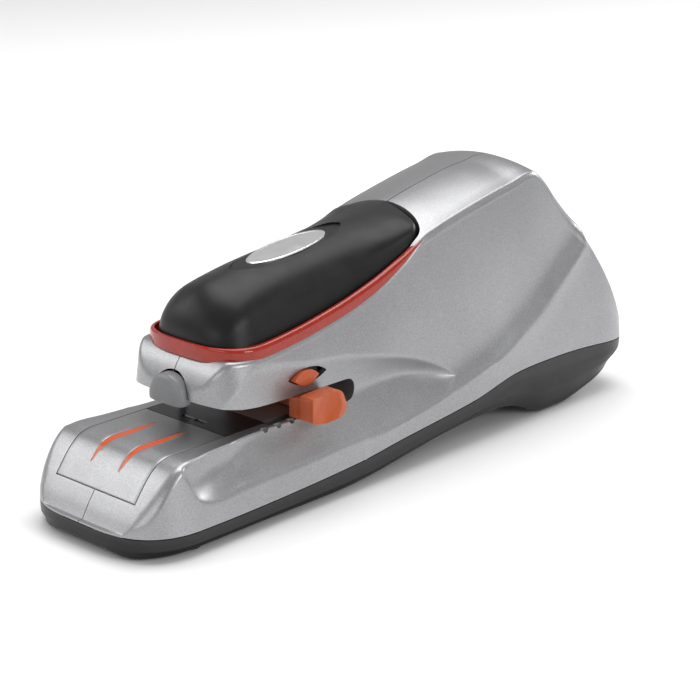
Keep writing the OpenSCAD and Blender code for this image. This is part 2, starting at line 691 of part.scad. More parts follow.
// Square-wire coil spring, standing on z = 0
module coil(r, t, h, turns, fill = 0.3) {
    a = 360 * fill;
    linear_extrude(height = h, twist = -360 * turns, slices = turns * 12)
        polygon(concat([for (k = [0 : 3]) (r + t / 2) * [cos(a * k / 3), sin(a * k / 3)]],
            [for (k = [3 : -1 : 0]) (r - t / 2) * [cos(a * k / 3), sin(a * k / 3)]]));
}
module pad_springs() {
    color(steel) {
        translate([pad_posts[0][0], pad_posts[0][1], spring_top - 12])
            coil(2.6, 0.6, 12, 5);
        translate([pad_posts[1][0], pad_posts[1][1], spring_top])
            coil(2.6, 0.6, 12, 5);
    }
}

module led_strip() {
    color(board_green)
        for (s = [-1, 1])
            translate([s * (half_w - lean - 4.6) - 1.5, nose_y + 16, ceil_z + 10.2])
                cube([3, 24, 1.2]);
}
module ring_leds() {
    color(white)
        for (s = [-1, 1], k = [0 : 2])
            translate([s * (half_w - lean - 4.6) - 1, nose_y + 18 + 9 * k, ceil_z + 11.4])
                cube([2, 2, 1.4]);
}

module plate_shape(y1) {
    difference() {
        polygon([[lever_y - 8, lever_z - 10], [lever_y - 8, lever_z + 7], [lever_y + 10, lever_z + 9],
            [second_y, second_z + 10], [y1, first_z + 9], [y1, frame_z], [rib_ys[0] - 3, frame_z],
            [rib_ys[0] - 3, lever_z - 22]]);
        translate([cam_y, cam_z])
            circle(r = shaft_d / 2 + run_gap, $fn = 64);
        translate([lever_y, lever_z])
            circle(r = shaft_d / 2, $fn = 64);
        for (p = spacers_at)
            translate(p)
                circle(r = 1.6, $fn = 48);
    }
}
spacers_at = [[cam_y - 14, frame_z + 6], [second_y - 2, frame_z + 5], [second_y - 4, second_z + 7]];
gear_axle_r = 1.5;
module upright(x) {
    translate([x, 0, 0])
        rotate([90, 0, 90])
            linear_extrude(height = plate_t)
                children();
}
module feet_tabs(s) {
    for (y = rib_ys)
        difference() {
            translate([s > 0 ? plate_x - 7 : -plate_x, y - 2, frame_z])
                cube([7, 4, plate_t]);
            translate([s * (plate_x - 4), y, frame_z - 1])
                cylinder(r = 1.5, h = 4, $fn = 32);
        }
}
module frame_plate_left() {
    color(steel) {
        upright(-plate_x - plate_t)
            plate_shape(first_y);
        feet_tabs(-1);
    }
}
module frame_plate_right() {
    color(steel) {
        upright(plate_x)
            difference() {
                plate_shape(motor_y + 14);
                translate([motor_y, motor_z])
                    circle(r = 3.4, $fn = 48);
                for (p = [[first_y, first_z], [second_y, second_z]])
                    translate(p)
                        circle(r = gear_axle_r, $fn = 48);
            }
        feet_tabs(1);
    }
}
module x_rod(p, r, x0, x1) {
    translate([x0, p[0], p[1]])
        rotate([0, 90, 0])
            cylinder(r = r, h = x1 - x0, $fn = 64);
}
module frame_spacers() {
    color(dark_steel)
        for (p = spacers_at) {
            x_rod(p, 2.6, -plate_x, plate_x);
            x_rod(p, 1.55, -plate_x - plate_t - 0.8, plate_x + plate_t + 0.5);
        }
}
module lever_pin() {
    color(dark_steel)
        x_rod([lever_y, lever_z], shaft_d / 2, -plate_x - plate_t - 1, plate_x + plate_t + 1);
}
module gear_axles() {
    color(dark_steel)
        for (p = [[first_y, first_z], [second_y, second_z]]) {
            x_rod(p, gear_axle_r, plate_x, layer_a + gear_w + 1);
            x_rod(p, gear_axle_r + 0.7, plate_x + plate_t, layer_b - 0.3);
        }
}

function invol(rb, t) = [rb * (cos(t) + t * PI / 180 * sin(t)), rb * (sin(t) - t * PI / 180 * cos(t))];
function turn(p, a) = [p[0] * cos(a) - p[1] * sin(a), p[0] * sin(a) + p[1] * cos(a)];
// Involute gear outline of n teeth and module m, one tooth centred on +X
module gear_shape(n, m) {
    rp = n * m / 2;
    rb = rp * cos(20);
    ro = rp + m * 0.95;
    rr = rp - m * 1.2;
    t_at = sqrt(pow(rp / rb, 2) - 1) * 180 / PI;
    t_out = sqrt(pow(ro / rb, 2) - 1) * 180 / PI;
    half = 90 / n * 0.94 + t_at - 20;
    t0 = rr > rb ? sqrt(pow(rr / rb, 2) - 1) * 180 / PI : 0;
    polygon([for (k = [0 : n - 1]) each concat(
        [turn([rr, 0], k * 360 / n - half - (rr > rb ? 0 : 0.01))],
        [for (t = [t0, mix(t0, t_out, 0.35), mix(t0, t_out, 0.7), t_out])
            turn(invol(rb, t), k * 360 / n - half)],
        [for (t = [t_out, mix(t0, t_out, 0.7), mix(t0, t_out, 0.35), t0])
            let (q = invol(rb, t)) turn([q[0], -q[1]], k * 360 / n + half)],
        [turn([rr, 0], k * 360 / n + half + (rr > rb ? 0 : 0.01))])]);
}
module gear(n, m, x0, w, bore_r, phase) {
    translate([x0, 0, 0])
        rotate([90, 0, 90])
            difference() {
                linear_extrude(height = w)
                    rotate(phase)
                        gear_shape(n, m);
                translate([0, 0, -1])
                    cylinder(r = bore_r, h = w + 2, $fn = 64);
            }
}
// Directions from one centre to the next, and the phases that put teeth into gaps
dir_cs = atan2(second_z - cam_z, second_y - cam_y);
dir_sf = atan2(first_z - second_z, first_y - second_y);
dir_fm = atan2(motor_z - first_z, motor_y - first_y);
phase_second = dir_cs + 180 + 180 / small_t;
phase_first = dir_sf + 180 + 180 / small_t;
phase_motor = dir_fm + 180 + 180 / pinion_t;

module motor_can() {
    color(steel)
        translate([plate_x - motor_l, motor_y, motor_z])
            rotate([0, 90, 0])
                difference() {
                    union() {
                        cylinder(r = motor_d / 2, h = motor_l, $fn = 96);
                        translate([0, 0, -2])
                            cylinder(r = motor_d / 2 - 4, h = 2 + e, $fn = 64);
                        translate([0, 0, motor_l - e])
                            cylinder(r = 3.1, h = plate_t + 0.3, $fn = 48);
                    }
                    translate([0, 0, 6])
                        cylinder(r = 1 + run_gap, h = motor_l, $fn = 48);
                }
}
module motor_shaft() {
    color(dark_steel)
        x_rod([motor_y, motor_z], 1, plate_x - motor_l + 6.5, layer_a + gear_w);
}
module motor_pinion() {
    color(brass)
        translate([0, motor_y, motor_z])
            gear(pinion_t, mod_a, layer_a, gear_w, 1, phase_motor);
}
module first_gear() {
    color(white)
        translate([0, first_y, first_z]) {
            gear(first_t, mod_a, layer_a, gear_w, gear_axle_r + run_gap, dir_fm);
            gear(small_t, mod_b, layer_b, layer_a - layer_b + e, gear_axle_r + run_gap, phase_first);
        }
}
module second_gear() {
    color(white)
        translate([0, second_y, second_z]) {
            gear(second_t, mod_b, layer_b, gear_w, gear_axle_r + run_gap, dir_sf);
            gear(small_t, mod_c, layer_b + gear_w - e, layer_a + gear_w - layer_b - gear_w + e,
                gear_axle_r + run_gap, phase_second);
        }
}
module cam_gear() {
    color(white)
        translate([0, cam_y, cam_z])
            difference() {
                gear(cam_t, mod_c, layer_a + 0.3, gear_w - 0.6, shaft_d / 2, dir_cs);
                for (k = [0 : 4])
                    rotate([72 * k, 0, 0])
                        translate([layer_a - 1, 10, 0])
                            rotate([0, 90, 0])
                                cylinder(r = 2.6, h = 8, $fn = 48);
            }
}
module cam_shaft() {
    color(dark_steel)
        x_rod([cam_y, cam_z], shaft_d / 2, -plate_x - plate_t - 1.5, layer_a + gear_w + 0.6);
}
function roller_at(f) =
    let (a = -lever_swing / 2 + lever_swing * f)
    [lever_y + lever_rear * cos(a), lever_z + lever_rear * sin(a)];
function cam_point(f) =
    let (p = roller_at(f), dy = p[0] - cam_y, dz = p[1] - cam_z,
        r = sqrt(dy * dy + dz * dz) - roller_r - slide_gap, a = atan2(dz, dy) - cam_turn * f)
    [r * cos(a), r * sin(a)];
module cam_disc() {
    low = cam_point(0);
    high = cam_point(1);
    r0 = norm(low);
    r1 = norm(high);
    a0 = atan2(low[1], low[0]);
    color("#c7b98a")
        translate([-4, cam_y, cam_z])
            rotate([90, 0, 90])
                difference() {
                    linear_extrude(height = 8)
                        polygon(concat([for (k = [0 : 40]) cam_point(k / 40)],
                            [for (k = [1 : 15]) let (t = k / 16, a = a0 - cam_turn - (360 - cam_turn) * t,
                                r = r1 - (r1 - r0) * t * t * (3 - 2 * t)) [r * cos(a), r * sin(a)]]));
                    translate([0, 0, -1])
                        cylinder(r = shaft_d / 2, h = 10, $fn = 64);
                    for (k = [0 : 3])
                        rotate(90 * k)
                            translate([7, 0, -1])
                                cylinder(r = 2, h = 10, $fn = 32);
                }
}

// The lever lies along its rest direction, front end high
module drive_lever() {
    color(dark_steel)
        translate([0, lever_y, lever_z])
            rotate([-rear_arm, 0, 0])
                difference() {
                    union() {
                        translate([-6, 0, 0])
                            rotate([90, 0, 90])
                                linear_extrude(height = 12)
                                    polygon([[-lever_front + 8, 1.8], [-lever_front + 8, -1.8],
                                        [-lever_front * 0.5, -3.2], [-8, -6], [6, -6],
                                        [lever_rear - 7, -1], [lever_rear - 7, 4], [6, 7],
                                        [-8, 6], [-lever_front * 0.5, 3.6]]);
                        rotate([0, 90, 0])
                            cylinder(r = 7, h = 2 * plate_x - 1.2, center = true, $fn = 96);
                        for (s = [-1, 1])
                            translate([s * 5 - 1, 0, 0])
                                rotate([90, 0, 90])
                                    linear_extrude(height = 2)
                                        polygon([[lever_rear - 8, -1], [lever_rear + 3, -3],
                                            [lever_rear + 3, 3], [lever_rear - 8, 4]]);
                        translate([-2, -lever_front + 1.2, -1])
                            cube([4, 8, 2]);
                    }
                    rotate([0, 90, 0])
                        cylinder(r = shaft_d / 2 + run_gap, h = 60, center = true, $fn = 64);
                    translate([0, lever_rear, 0])
                        rotate([0, 90, 0])
                            cylinder(r = 1.5, h = 30, center = true, $fn = 48);
                }
}
module follower_roller() {
    p = roller_at(0);
    color(steel) {
        x_rod(p, roller_r, -3.6, 3.6);
        x_rod(p, 1.5, -6.4, 6.4);
    }
}

carriage_z = mag_z + mag_h + drive_travel + 0.4;
carriage_h = 5.2;
rod_x = mag_hw + 4.5;
rod_y = drive_y + 2.4;
rod_r = 1.5;
module driver_rods() {
    color(steel)
        for (s = [-1, 1])
            translate([s * rod_x, rod_y, 0]) {
                translate([0, 0, ceil_z + wall])
                    cylinder(r = rod_r, h = carriage_z + carriage_h - 2 - ceil_z - wall, $fn = 48);
                translate([0, 0, ceil_z + wall])
                    cylinder(r = 2.9, h = 1.6, $fn = 48);
            }
}
module driver_carriage() {
    color(dark_steel)
        difference() {
            union() {
                translate([-rod_x - 2, drive_y - 0.9, carriage_z])
                    cube([2 * rod_x + 4, 5.9, carriage_h - 2.6]);
                translate([-rod_x + 3.2, drive_y - 0.9, carriage_z])
                    cube([2 * rod_x - 6.4, 5.9, carriage_h]);
            }
            for (s = [-1, 1])
                translate([s * rod_x, rod_y, carriage_z - 1])
                    cylinder(r = rod_r + run_gap, h = 10, $fn = 48);
            translate([-2.6, drive_y + 0.6, carriage_z + 3.7 - 1.2 - slide_gap])
                cube([5.2, 6, 2.4 + 2 * slide_gap]);
            translate([-staple_w / 2, drive_y - 0.35, carriage_z - 1])
                cube([staple_w, 0.7, 2.6]);
        }
}
module driver_blade() {
    color(steel)
        translate([-staple_w / 2 + 0.05, drive_y - 0.35, mag_z + mag_h + 0.2])
            cube([staple_w - 0.1, 0.7, carriage_z + 1.6 - mag_z - mag_h - 0.2]);
}

module magazine_rail() {
    color(steel) {
        for (s = [-1, 1])
            translate([s > 0 ? rail_hw - e : -rail_hw - 3, drive_y + 18, ceil_z + wall])
                cube([3 + e, 26, rail_t]);
        difference() {
            translate([-rail_hw, drive_y + 5.5, mag_z + 0.3])
                cube([2 * rail_hw, mag_y1 - drive_y, rail_top - mag_z - 0.3]);
            translate([-rail_hw + rail_t, drive_y, mag_z - 1])
                cube([2 * (rail_hw - rail_t), mag_y1 - drive_y + 10, rail_top - rail_t - mag_z + 1]);
        }
    }
}
drawer_t = 0.8;
stem_r = 1.4;
core_hw = staple_w / 2 - wire_t - 0.35;
rod_z = mag_z + 4.2;
strip_y0 = drive_y + 0.45;
module magazine_drawer() {
    color(steel)
        difference() {
            translate([-mag_hw, mag_y0, mag_z])
                cube([2 * mag_hw, mag_y1 - mag_y0, mag_h]);
            translate([-mag_hw + drawer_t, mag_y0 + 3, mag_z + drawer_t])
                difference() {
                    cube([2 * (mag_hw - drawer_t), mag_y1 - mag_y0 - 5, mag_h]);
                    translate([mag_hw - drawer_t - core_hw, 1.6, -1])
                        cube([2 * core_hw, mag_y1 - mag_y0, staple_h - wire_t + 1 - 0.1]);
                }
            translate([-core_hw + 0.9, mag_y0 + 5.4, mag_z + drawer_t])
                cube([2 * core_hw - 1.8, mag_y1 - mag_y0 - 7.4, mag_h]);
            translate([-staple_w / 2 - 0.2, drive_y - 0.5 - 0.2, mag_z - 1])
                cube([staple_w + 0.4, 1.6, 10]);
            translate([0, mag_y0 - 1, mag_z + 4.6])
                rotate([-90, 0, 0])
                    cylinder(r = stem_r + run_gap, h = 5, $fn = 48);
            translate([0, mag_y0 + 4.4, rod_z])
                rotate([-90, 0, 0])
                    cylinder(r = 1, h = mag_y1 - mag_y0 - 5.4, $fn = 48);
            for (s = [-1, 1])
                translate([s * (mag_hw + 0.75) - 2, mag_y0 - 1, mag_z + mag_h - 1.5])
                    cube([4, mag_y1 - mag_y0 + 2, 3]);
        }
}
module staple_strip() {
    color(steel)
        translate([0, strip_y0, mag_z + drawer_t + 0.15])
            difference() {
                translate([-staple_w / 2, 0, 0])
                    cube([staple_w, strip_l, staple_h]);
                translate([-staple_w / 2 + wire_t, -1, -1])
                    cube([staple_w - 2 * wire_t, strip_l + 2, staple_h - wire_t + 1]);
            }
}
pusher_y = strip_y0 + strip_l;
module staple_pusher() {
    color(orange)
        difference() {
            union() {
                translate([-staple_w / 2, pusher_y, mag_z + drawer_t + 0.15])
                    difference() {
                        cube([staple_w, 9, staple_h]);
                        translate([wire_t, -1, -1])
                            cube([staple_w - 2 * wire_t, 11, staple_h - wire_t + 1]);
                    }
                translate([-core_hw + 1.3, pusher_y, mag_z + drawer_t + 0.4])
                    cube([2 * core_hw - 2.6, 9, staple_h - 0.6]);
            }
            translate([0, pusher_y - 1, rod_z])
                rotate([-90, 0, 0])
                    cylinder(r = 1 + run_gap, h = 12, $fn = 48);
        }
}
module pusher_rod() {
    color(dark_steel)
        translate([0, mag_y0 + 4.4, rod_z])
            rotate([-90, 0, 0])
                cylinder(r = 1, h = mag_y1 - mag_y0 - 5.4, $fn = 48);
}
module pusher_spring() {
    color(steel)
        translate([0, mag_y1 - 2, rod_z])
            rotate([90, 0, 0])
                coil(2, 0.5, mag_y1 - 2 - pusher_y - 9, 9);
}

button_travel = 2.4;
module release_button() {
    color("#8c9095")
        difference() {
            union() {
                translate([0, nose_y - 2.2, arch_top - arch_r])
                    rotate([-90, 0, 0])
                        cylinder(r = arch_r - 0.6, h = 7, $fn = 96);
                translate([0, nose_y - 2.9, arch_top - arch_r])
                    rotate([-90, 0, 0])
                        cylinder(r1 = arch_r - 2, r2 = arch_r - 0.6, h = 0.7 + e, $fn = 96);
            }
            translate([0, nose_y + 1.2, arch_top - arch_r])
                rotate([-90, 0, 0])
                    cylinder(r = arch_r - 1.8, h = 5, $fn = 64);
            translate([-20, nose_y - 5, ceil_z - 20])
                cube([40, 20, 20 + 0.4]);
        }
    color("#8c9095")
        translate([0, nose_y + 1.2 - e, mag_z + 4.6])
            rotate([-90, 0, 0])
                cylinder(r = stem_r, h = mag_y0 + 0.4 - nose_y - 1.2, $fn = 48);
}
module button_spring() {
    color(steel)
        translate([0, nose_y + 1.2, mag_z + 4.6])
            rotate([-90, 0, 0])
                coil(2.4, 0.5, mag_y0 - nose_y - 1.2, 4);
}

module mode_switch() {
    color("#2c2c30")
        difference() {
            translate([18.3, eye_y - 6, ceil_z + wall])
                cube([4, 12 + eye_travel, eye_z + 3.5 - ceil_z - wall]);
            translate([20.7, eye_y - 1.6 - 0.4, eye_z - 1.4])
                cube([3, 3.2 + eye_travel + 0.8, 2.8]);
        }
}
module mode_slider() {
    color(orange)
        translate([0, eye_y, eye_z]) {
            eye(eye_l, eye_h, 23, 26.8);
            translate([21.1, -1.6, -1])
                cube([1.9 + e, 3.2, 2]);
        }
}

module depth_slide() {
    color(orange)
        difference() {
            union() {
                translate([-cover_hw + 2, stop_y - 2.2, deck_z + slide_gap])
                    cube([cover_hw + knob_x - 1, 4.4, throat_gap - 2 * slide_gap]);
                translate([keel_x - keel_w / 2, stop_y - 2.2, deck_z - wall - 2.2])
                    cube([keel_w, 4.4, wall + 3]);
                translate([keel_x - keel_w / 2 - 1.3, stop_y - 2.2, deck_z - wall - 2.2])
                    cube([keel_w + 2.6, 4.4, 1.6]);
                translate([22, knob_y - 7.6, deck_z + slide_gap])
                    cube([knob_x - 21, 13, throat_gap - 2 * slide_gap]);
                translate([knob_x, knob_y, deck_z + throat_gap / 2])
                    rotate([90, 0, 90])
                        linear_extrude(height = 6.2)
                            hull() {
                                for (p = [[-6.8, 3.8, 1.3], [-6.8, -2.6, 1.3], [3.6, 2, 3.6],
                                    [4.8, -1, 3.6], [-1, -2.8, 2.2]])
                                    translate([p[0], p[1]])
                                        circle(r = p[2], $fn = 48);
                            }
            }
            translate([knob_x + 6.2 + 11.6, knob_y + 0.4, deck_z + 4.2])
                sphere(r = 12.8, $fn = 48);
        }
}

module pad_switch() {
    color("#2c2c30") {
        translate([12, nose_y + 38, spring_top - 8.4])
            cube([6, 6, 4]);
        translate([15, nose_y + 41, spring_top - 4.4 - e])
            cylinder(r = 1.5, h = 0.6 + e, $fn = 32);
    }
}

sensor_y = drive_y + 7.4;
sensor_z = ceil_z + 6.5;
sensor_l = 13.2;
module sensor_lever() {
    color(black)
        difference() {
            union() {
                x_rod([sensor_y, sensor_z], 2.2, -15, -13);
                translate([-15, sensor_y - 1, sensor_z - sensor_l])
                    cube([2, 2, sensor_l]);
                translate([-15, sensor_y, sensor_z - 0.8])
                    cube([2, 5, 1.6]);
            }
            x_rod([sensor_y, sensor_z], 1 + run_gap, -20, -10);
        }
}
module sensor_switch() {
    color("#2c2c30")
        union() {
            translate([-17.2, sensor_y + 3, sensor_z + 2.6])
                cube([6.4, 9, 4.4]);
            x_rod([sensor_y, sensor_z], 1, -17.2, -11.2);
            translate([-17.2, sensor_y - 1.8, ceil_z + wall])
                cube([1.4, 8, sensor_z + 7 - ceil_z - wall]);
        }
}

module case_screws() {
    color(steel)
        for (y = screw_ys, s = [-1, 1])
            translate([s * screw_x, y, 0]) {
                translate([0, 0, pan_bottom(y) + 0.8])
                    cylinder(r = 2.3, h = 1.6, $fn = 32);
                translate([0, 0, pan_bottom(y) + 2])
                    cylinder(r = screw_r, h = parting(y) + 6 - pan_bottom(y) - 2, $fn = 32);
            }
}
module frame_screws() {
    color(steel)
        for (y = rib_ys, s = [-1, 1])
            translate([s * (plate_x - 4), y, 0]) {
                translate([0, 0, frame_z - 5])
                    cylinder(r = 1.05, h = 5 + plate_t + e, $fn = 32);
                translate([0, 0, frame_z + plate_t])
                    cylinder(r = 2, h = 1.2, $fn = 32);
            }
}

base_pan();
left_shell();
right_shell();
anvil_cover();
cover_stripes();
anvil_plate();
light_ring();
rubber_feet();
power_inlet();
circuit_board();
control_chip();
storage_capacitor();
led_strip();
ring_leds();
frame_plate_left();
frame_plate_right();
frame_spacers();
lever_pin();
gear_axles();
motor_can();
motor_shaft();
motor_pinion();
first_gear();
second_gear();
cam_gear();
cam_disc();
cam_shaft();
drive_lever();
follower_roller();
driver_rods();
driver_carriage();
driver_blade();
magazine_rail();
magazine_drawer();
staple_strip();
staple_pusher();
pusher_spring();
pusher_rod();
release_button();
button_spring();
mode_switch();
mode_slider();
depth_slide();
top_pad();
pad_badge();
pad_springs();
pad_switch();
sensor_lever();
sensor_switch();
case_screws();
frame_screws();
board_screws();
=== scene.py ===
import json
import math
import bpy
import bmesh
import numpy as np
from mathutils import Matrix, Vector


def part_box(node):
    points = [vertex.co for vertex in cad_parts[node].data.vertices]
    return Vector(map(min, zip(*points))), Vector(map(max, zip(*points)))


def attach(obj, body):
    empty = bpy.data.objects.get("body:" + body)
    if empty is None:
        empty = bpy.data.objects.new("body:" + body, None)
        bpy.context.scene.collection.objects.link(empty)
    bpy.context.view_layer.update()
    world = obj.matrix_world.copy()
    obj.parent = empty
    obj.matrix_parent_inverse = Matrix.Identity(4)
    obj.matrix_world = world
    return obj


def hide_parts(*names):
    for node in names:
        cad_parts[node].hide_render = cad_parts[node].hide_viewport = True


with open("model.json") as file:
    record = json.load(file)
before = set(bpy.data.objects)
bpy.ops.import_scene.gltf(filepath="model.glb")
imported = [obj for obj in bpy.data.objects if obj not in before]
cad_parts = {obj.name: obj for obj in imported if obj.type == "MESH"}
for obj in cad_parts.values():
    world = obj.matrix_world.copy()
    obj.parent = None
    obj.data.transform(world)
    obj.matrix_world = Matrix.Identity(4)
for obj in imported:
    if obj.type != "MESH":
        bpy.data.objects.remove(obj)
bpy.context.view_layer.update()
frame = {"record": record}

# ---------------------------------------------------------------- driving sizes, mm
BODY_L, BODY_W, BODY_H = 258.0, 68.0, 98.0
WALL, LEAN, SNOUT_L = 2.4, 9.8, 38.0
FOOT_PROUD, ARCH_H, STERN_H = 0.6, 7.6, 16.0
DECK_Z, GAP, THROAT_D, DRIVE_BACK = 30.5, 8.0, 66.5, 13.5
COVER_HW, TRIM = 20.0, 0.35
PAD_W, RING_H = 43.2, 3.8
HALF_W = BODY_W / 2
FRONT, REAR = -BODY_L / 2, BODY_L / 2
NOSE = FRONT + SNOUT_L
THROAT = NOSE + THROAT_D
DRIVE = NOSE + DRIVE_BACK
CEIL = DECK_Z + GAP
HEAD_H = BODY_H - CEIL
PAD_Y0, PAD_Y1 = NOSE + 8.9, FRONT + 0.572 * BODY_L
RING_Y0, RING_Y1 = NOSE + 7.4, PAD_Y1 - 8
ANVIL_Y0, ANVIL_Y1 = DRIVE - 4, DRIVE + 14
TIP = NOSE + 3  # front of the visual nose
SEAM = THROAT - GAP / 2  # centre of the throat's round end, where the base gives way to the head
CROWN_Y = FRONT + 0.785 * BODY_L  # highest point of the body
SEAM_GAP, SLIP = 0.32, 0.35
COVER_Y0 = FRONT + 7.7
STAPLE_W, MAG_WALL, RAIL_T = 12.9, 1.4, 0.8
MAG_HW = STAPLE_W / 2 + MAG_WALL
RAIL_HW = MAG_HW + SLIP + RAIL_T
ARCH_R, ARCH_TOP = MAG_HW + 1.1, CEIL + 11.9
CAP_R = ARCH_R - 0.6
PAD_NOSE = 14
BADGE_HW, BADGE_HL = 7, 18.2
EYE_Y, EYE_Z, EYE_L, EYE_H, EYE_T = NOSE + 41, CEIL + 6.3, 11.6, 5.2, 3.6
STOP_Y = NOSE + 46.5
KNOB_Y, KNOB_X, DISH_R = STOP_Y - 2, 27.6, 12.8
SLIT_X, SLIT_HW = 20.5, 1.85
NOTCH_R, NOTCH_STEP = 1.3, 6.25
FOOT_R, INLET_R, INLET_X, INLET_Z = 5.1, 4.9, -14, DECK_Z - 15.5
MM = 0.001

# curves: heights as shares of the deck or of the head, against the share of the length
PARTING = [(0, .282), (.184, .289), (.374, .357), (.459, .439), (.618, .584), (.707, .734),
           (.797, .761), (.87, .741), (.959, .675), (1, .643)]
SHOULDER = [(.145, .304), (.238, .294), (.3, .323), (.351, .363), (.405, .417), (.458, .496),
            (.507, .603), (.542, .7), (.572, .741), (.61, .782), (.671, .84), (.734, .894),
            (.785, .934), (.812, .86), (.839, .731), (.892, .474), (.943, .168), (.978, -.092),
            (1, -.3)]
CROWN = [(0, 0), (.45, 0), (.507, .042), (.542, .094), (.572, .106), (.63, .106), (.7, .1),
         (.75, .08), (.785, .066), (.85, .06), (.92, .05), (1, .01)]
ARCH = [(0, 0), (.34, 0), (.42, .16), (.49, .47), (.59, .87), (.69, 1), (.735, .74), (.775, .13),
        (.79, 0), (1, 0)]
STERN = [(0, 0), (.835, 0), (.88, .12), (.932, .36), (.963, .66), (1, 1)]
SLOPE = [(0, .23), (1.5, .29), (4.5, .452), (8.3, .63), (13.2, .833), (17.5, .951), (21.5, .993),
         (26, 1), (400, 1)]
SCOOP_LOW = [(.072, 1.02), (.078, .84), (.086, .68), (.098, .58), (.116, .535), (.14, .53),
             (.18, .555), (.24, .57), (.3, .587), (.36, .617), (.42, .65), (.486, .70), (.53, .75),
             (.56, .83), (.582, .95)]
SCOOP_HIGH = [(.072, 1.2), (.165, .02), (.18, .085), (.195, .15), (.21, .2), (.228, .23),
              (.264, .215), (.312, .18), (.375, .155), (.435, .103), (.49, .045), (.53, -.02),
              (.56, -.085), (.582, -.155)]
SCOOP_DEEP = [(.072, .0), (.082, .7), (.1, 2.1), (.13, 3.8), (.2, 4.8), (.4, 5.4), (.46, 5.2), (.51, 4.2),
              (.55, 2.4), (.575, .6), (.582, 0)]
SCOOP_VALLEY = [(.072, .5), (.3, .5), (.4, .54), (.5, .64), (.582, .68)]
SCOOP_ROUND = [(.072, 1), (.3, .95), (.38, .7), (.46, .38), (.582, .3)]
SCOOP_U0, SCOOP_U1 = .072, .582
PAD_LINE = [(.176, .585), (.2, .612), (.223, .640), (.254, .672), (.3, .708), (.378, .75),
            (.448, .788), (.514, .82), (.572, .848), (.6, .86)]
FOLD = [(.167, .6), (.283, .6), (.372, .58), (.4535, .61), (.519, .672), (.581, .787),
        (.628, .885), (.674, .984), (.721, 1.18), (.767, 1.377), (.814, 1.64), (.876, 1.98),
        (.93, 2.3), (1, 2.6)]

# heights of the nose's top, and rise of the throat's ceiling, against the distance from the tip
NOSE_TOP = [(0, .06), (.4, .115), (1.5, .17), (3.5, .236), (6.3, .285), (9, .31), (12, .34)]
LIP_RISE = [(26, 0), (18, .35), (11, 1.1), (5, 2.2), (0, 3.4)]


def hermite(pts, u):
    """Smooth curve through pts, read at u."""
    u = np.asarray(u, float)
    xs = np.array([p[0] for p in pts], float)
    ys = np.array([p[1] for p in pts], float)
    n = len(xs)
    i = np.clip(np.searchsorted(xs, u, side="right") - 1, 0, n - 2)
    a, b = np.maximum(np.arange(n) - 1, 0), np.minimum(np.arange(n) + 1, n - 1)
    m = (ys[b] - ys[a]) / (xs[b] - xs[a])
    h = xs[i + 1] - xs[i]
    t = np.clip((u - xs[i]) / h, 0, 1)
    return (ys[i] * (2 * t ** 3 - 3 * t ** 2 + 1) + m[i] * h * (t ** 3 - 2 * t ** 2 + t)
            + ys[i + 1] * (3 * t ** 2 - 2 * t ** 3) + m[i + 1] * h * (t ** 3 - t ** 2))


def share(y):
    return (np.asarray(y, float) - FRONT) / BODY_L


def clip01(t):
    return np.clip(t, 0, 1)


def smooth(t):
    t = clip01(t)
    return t * t * (3 - 2 * t)


def parting(y):
    return DECK_Z * hermite(PARTING, share(y))


def shoulder(y):
    return CEIL + HEAD_H * hermite(SHOULDER, share(y))


def crown(y):
    return HEAD_H * np.maximum(0, hermite(CROWN, share(y)))


def deck_top(y):
    return DECK_Z * np.minimum(1, hermite(SLOPE, np.asarray(y, float) - FRONT))


def pan_bottom(y):
    u = share(y)
    return (FOOT_PROUD + ARCH_H * np.maximum(0, hermite(ARCH, u))
            + STERN_H * np.maximum(0, hermite(STERN, u))
            + 3.2 * (1 - clip01((np.asarray(y, float) - FRONT) / 5)) ** 2)


def front_plan(y):
    """Share of the full width at y, in plan."""
    return (1 - (1 - clip01((y - FRONT) / 24)) ** 2.2) ** (1 / 3.5)


def rear_plan(y):
    return (1 - (1 - clip01((REAR - y) / 22)) ** 2.2) ** (1 / 7)


def nose_plan(d):
    return (1 - (1 - clip01(d / 19)) ** 2.2) ** (1 / 3.9)


def flank(y, z):
    """Outer side before the scoop: it leans in, with a soft fold that sweeps up to the rear."""
    yf = np.minimum(y, CROWN_Y)
    zp = parting(y)
    t = clip01((z - zp) / (shoulder(yf) - zp))
    x = HALF_W - LEAN * t ** 1.1
    zf = DECK_Z * hermite(FOLD, share(y))
    d = (z - zf) / 7
    on = smooth((share(y) - .34) / .18) * smooth((1.0 - share(y)) / .18)
    lip = np.exp(-np.sqrt(d * d + 0.01) * 1.7)
    dip = np.where(d > 0, d * np.exp(1 - np.minimum(d, 9) * 0.8), 0)
    return np.minimum(x + on * (1.6 * lip - 0.9 * dip), HALF_W)


def scoop_edges(y):
    """Heights of the scoop's lower and upper edge."""
    u = np.clip(share(y), SCOOP_U0, SCOOP_U1)
    return DECK_Z * hermite(SCOOP_LOW, u), CEIL + HEAD_H * np.where(
        u < .165, .02, hermite(SCOOP_HIGH, np.maximum(u, .165)))


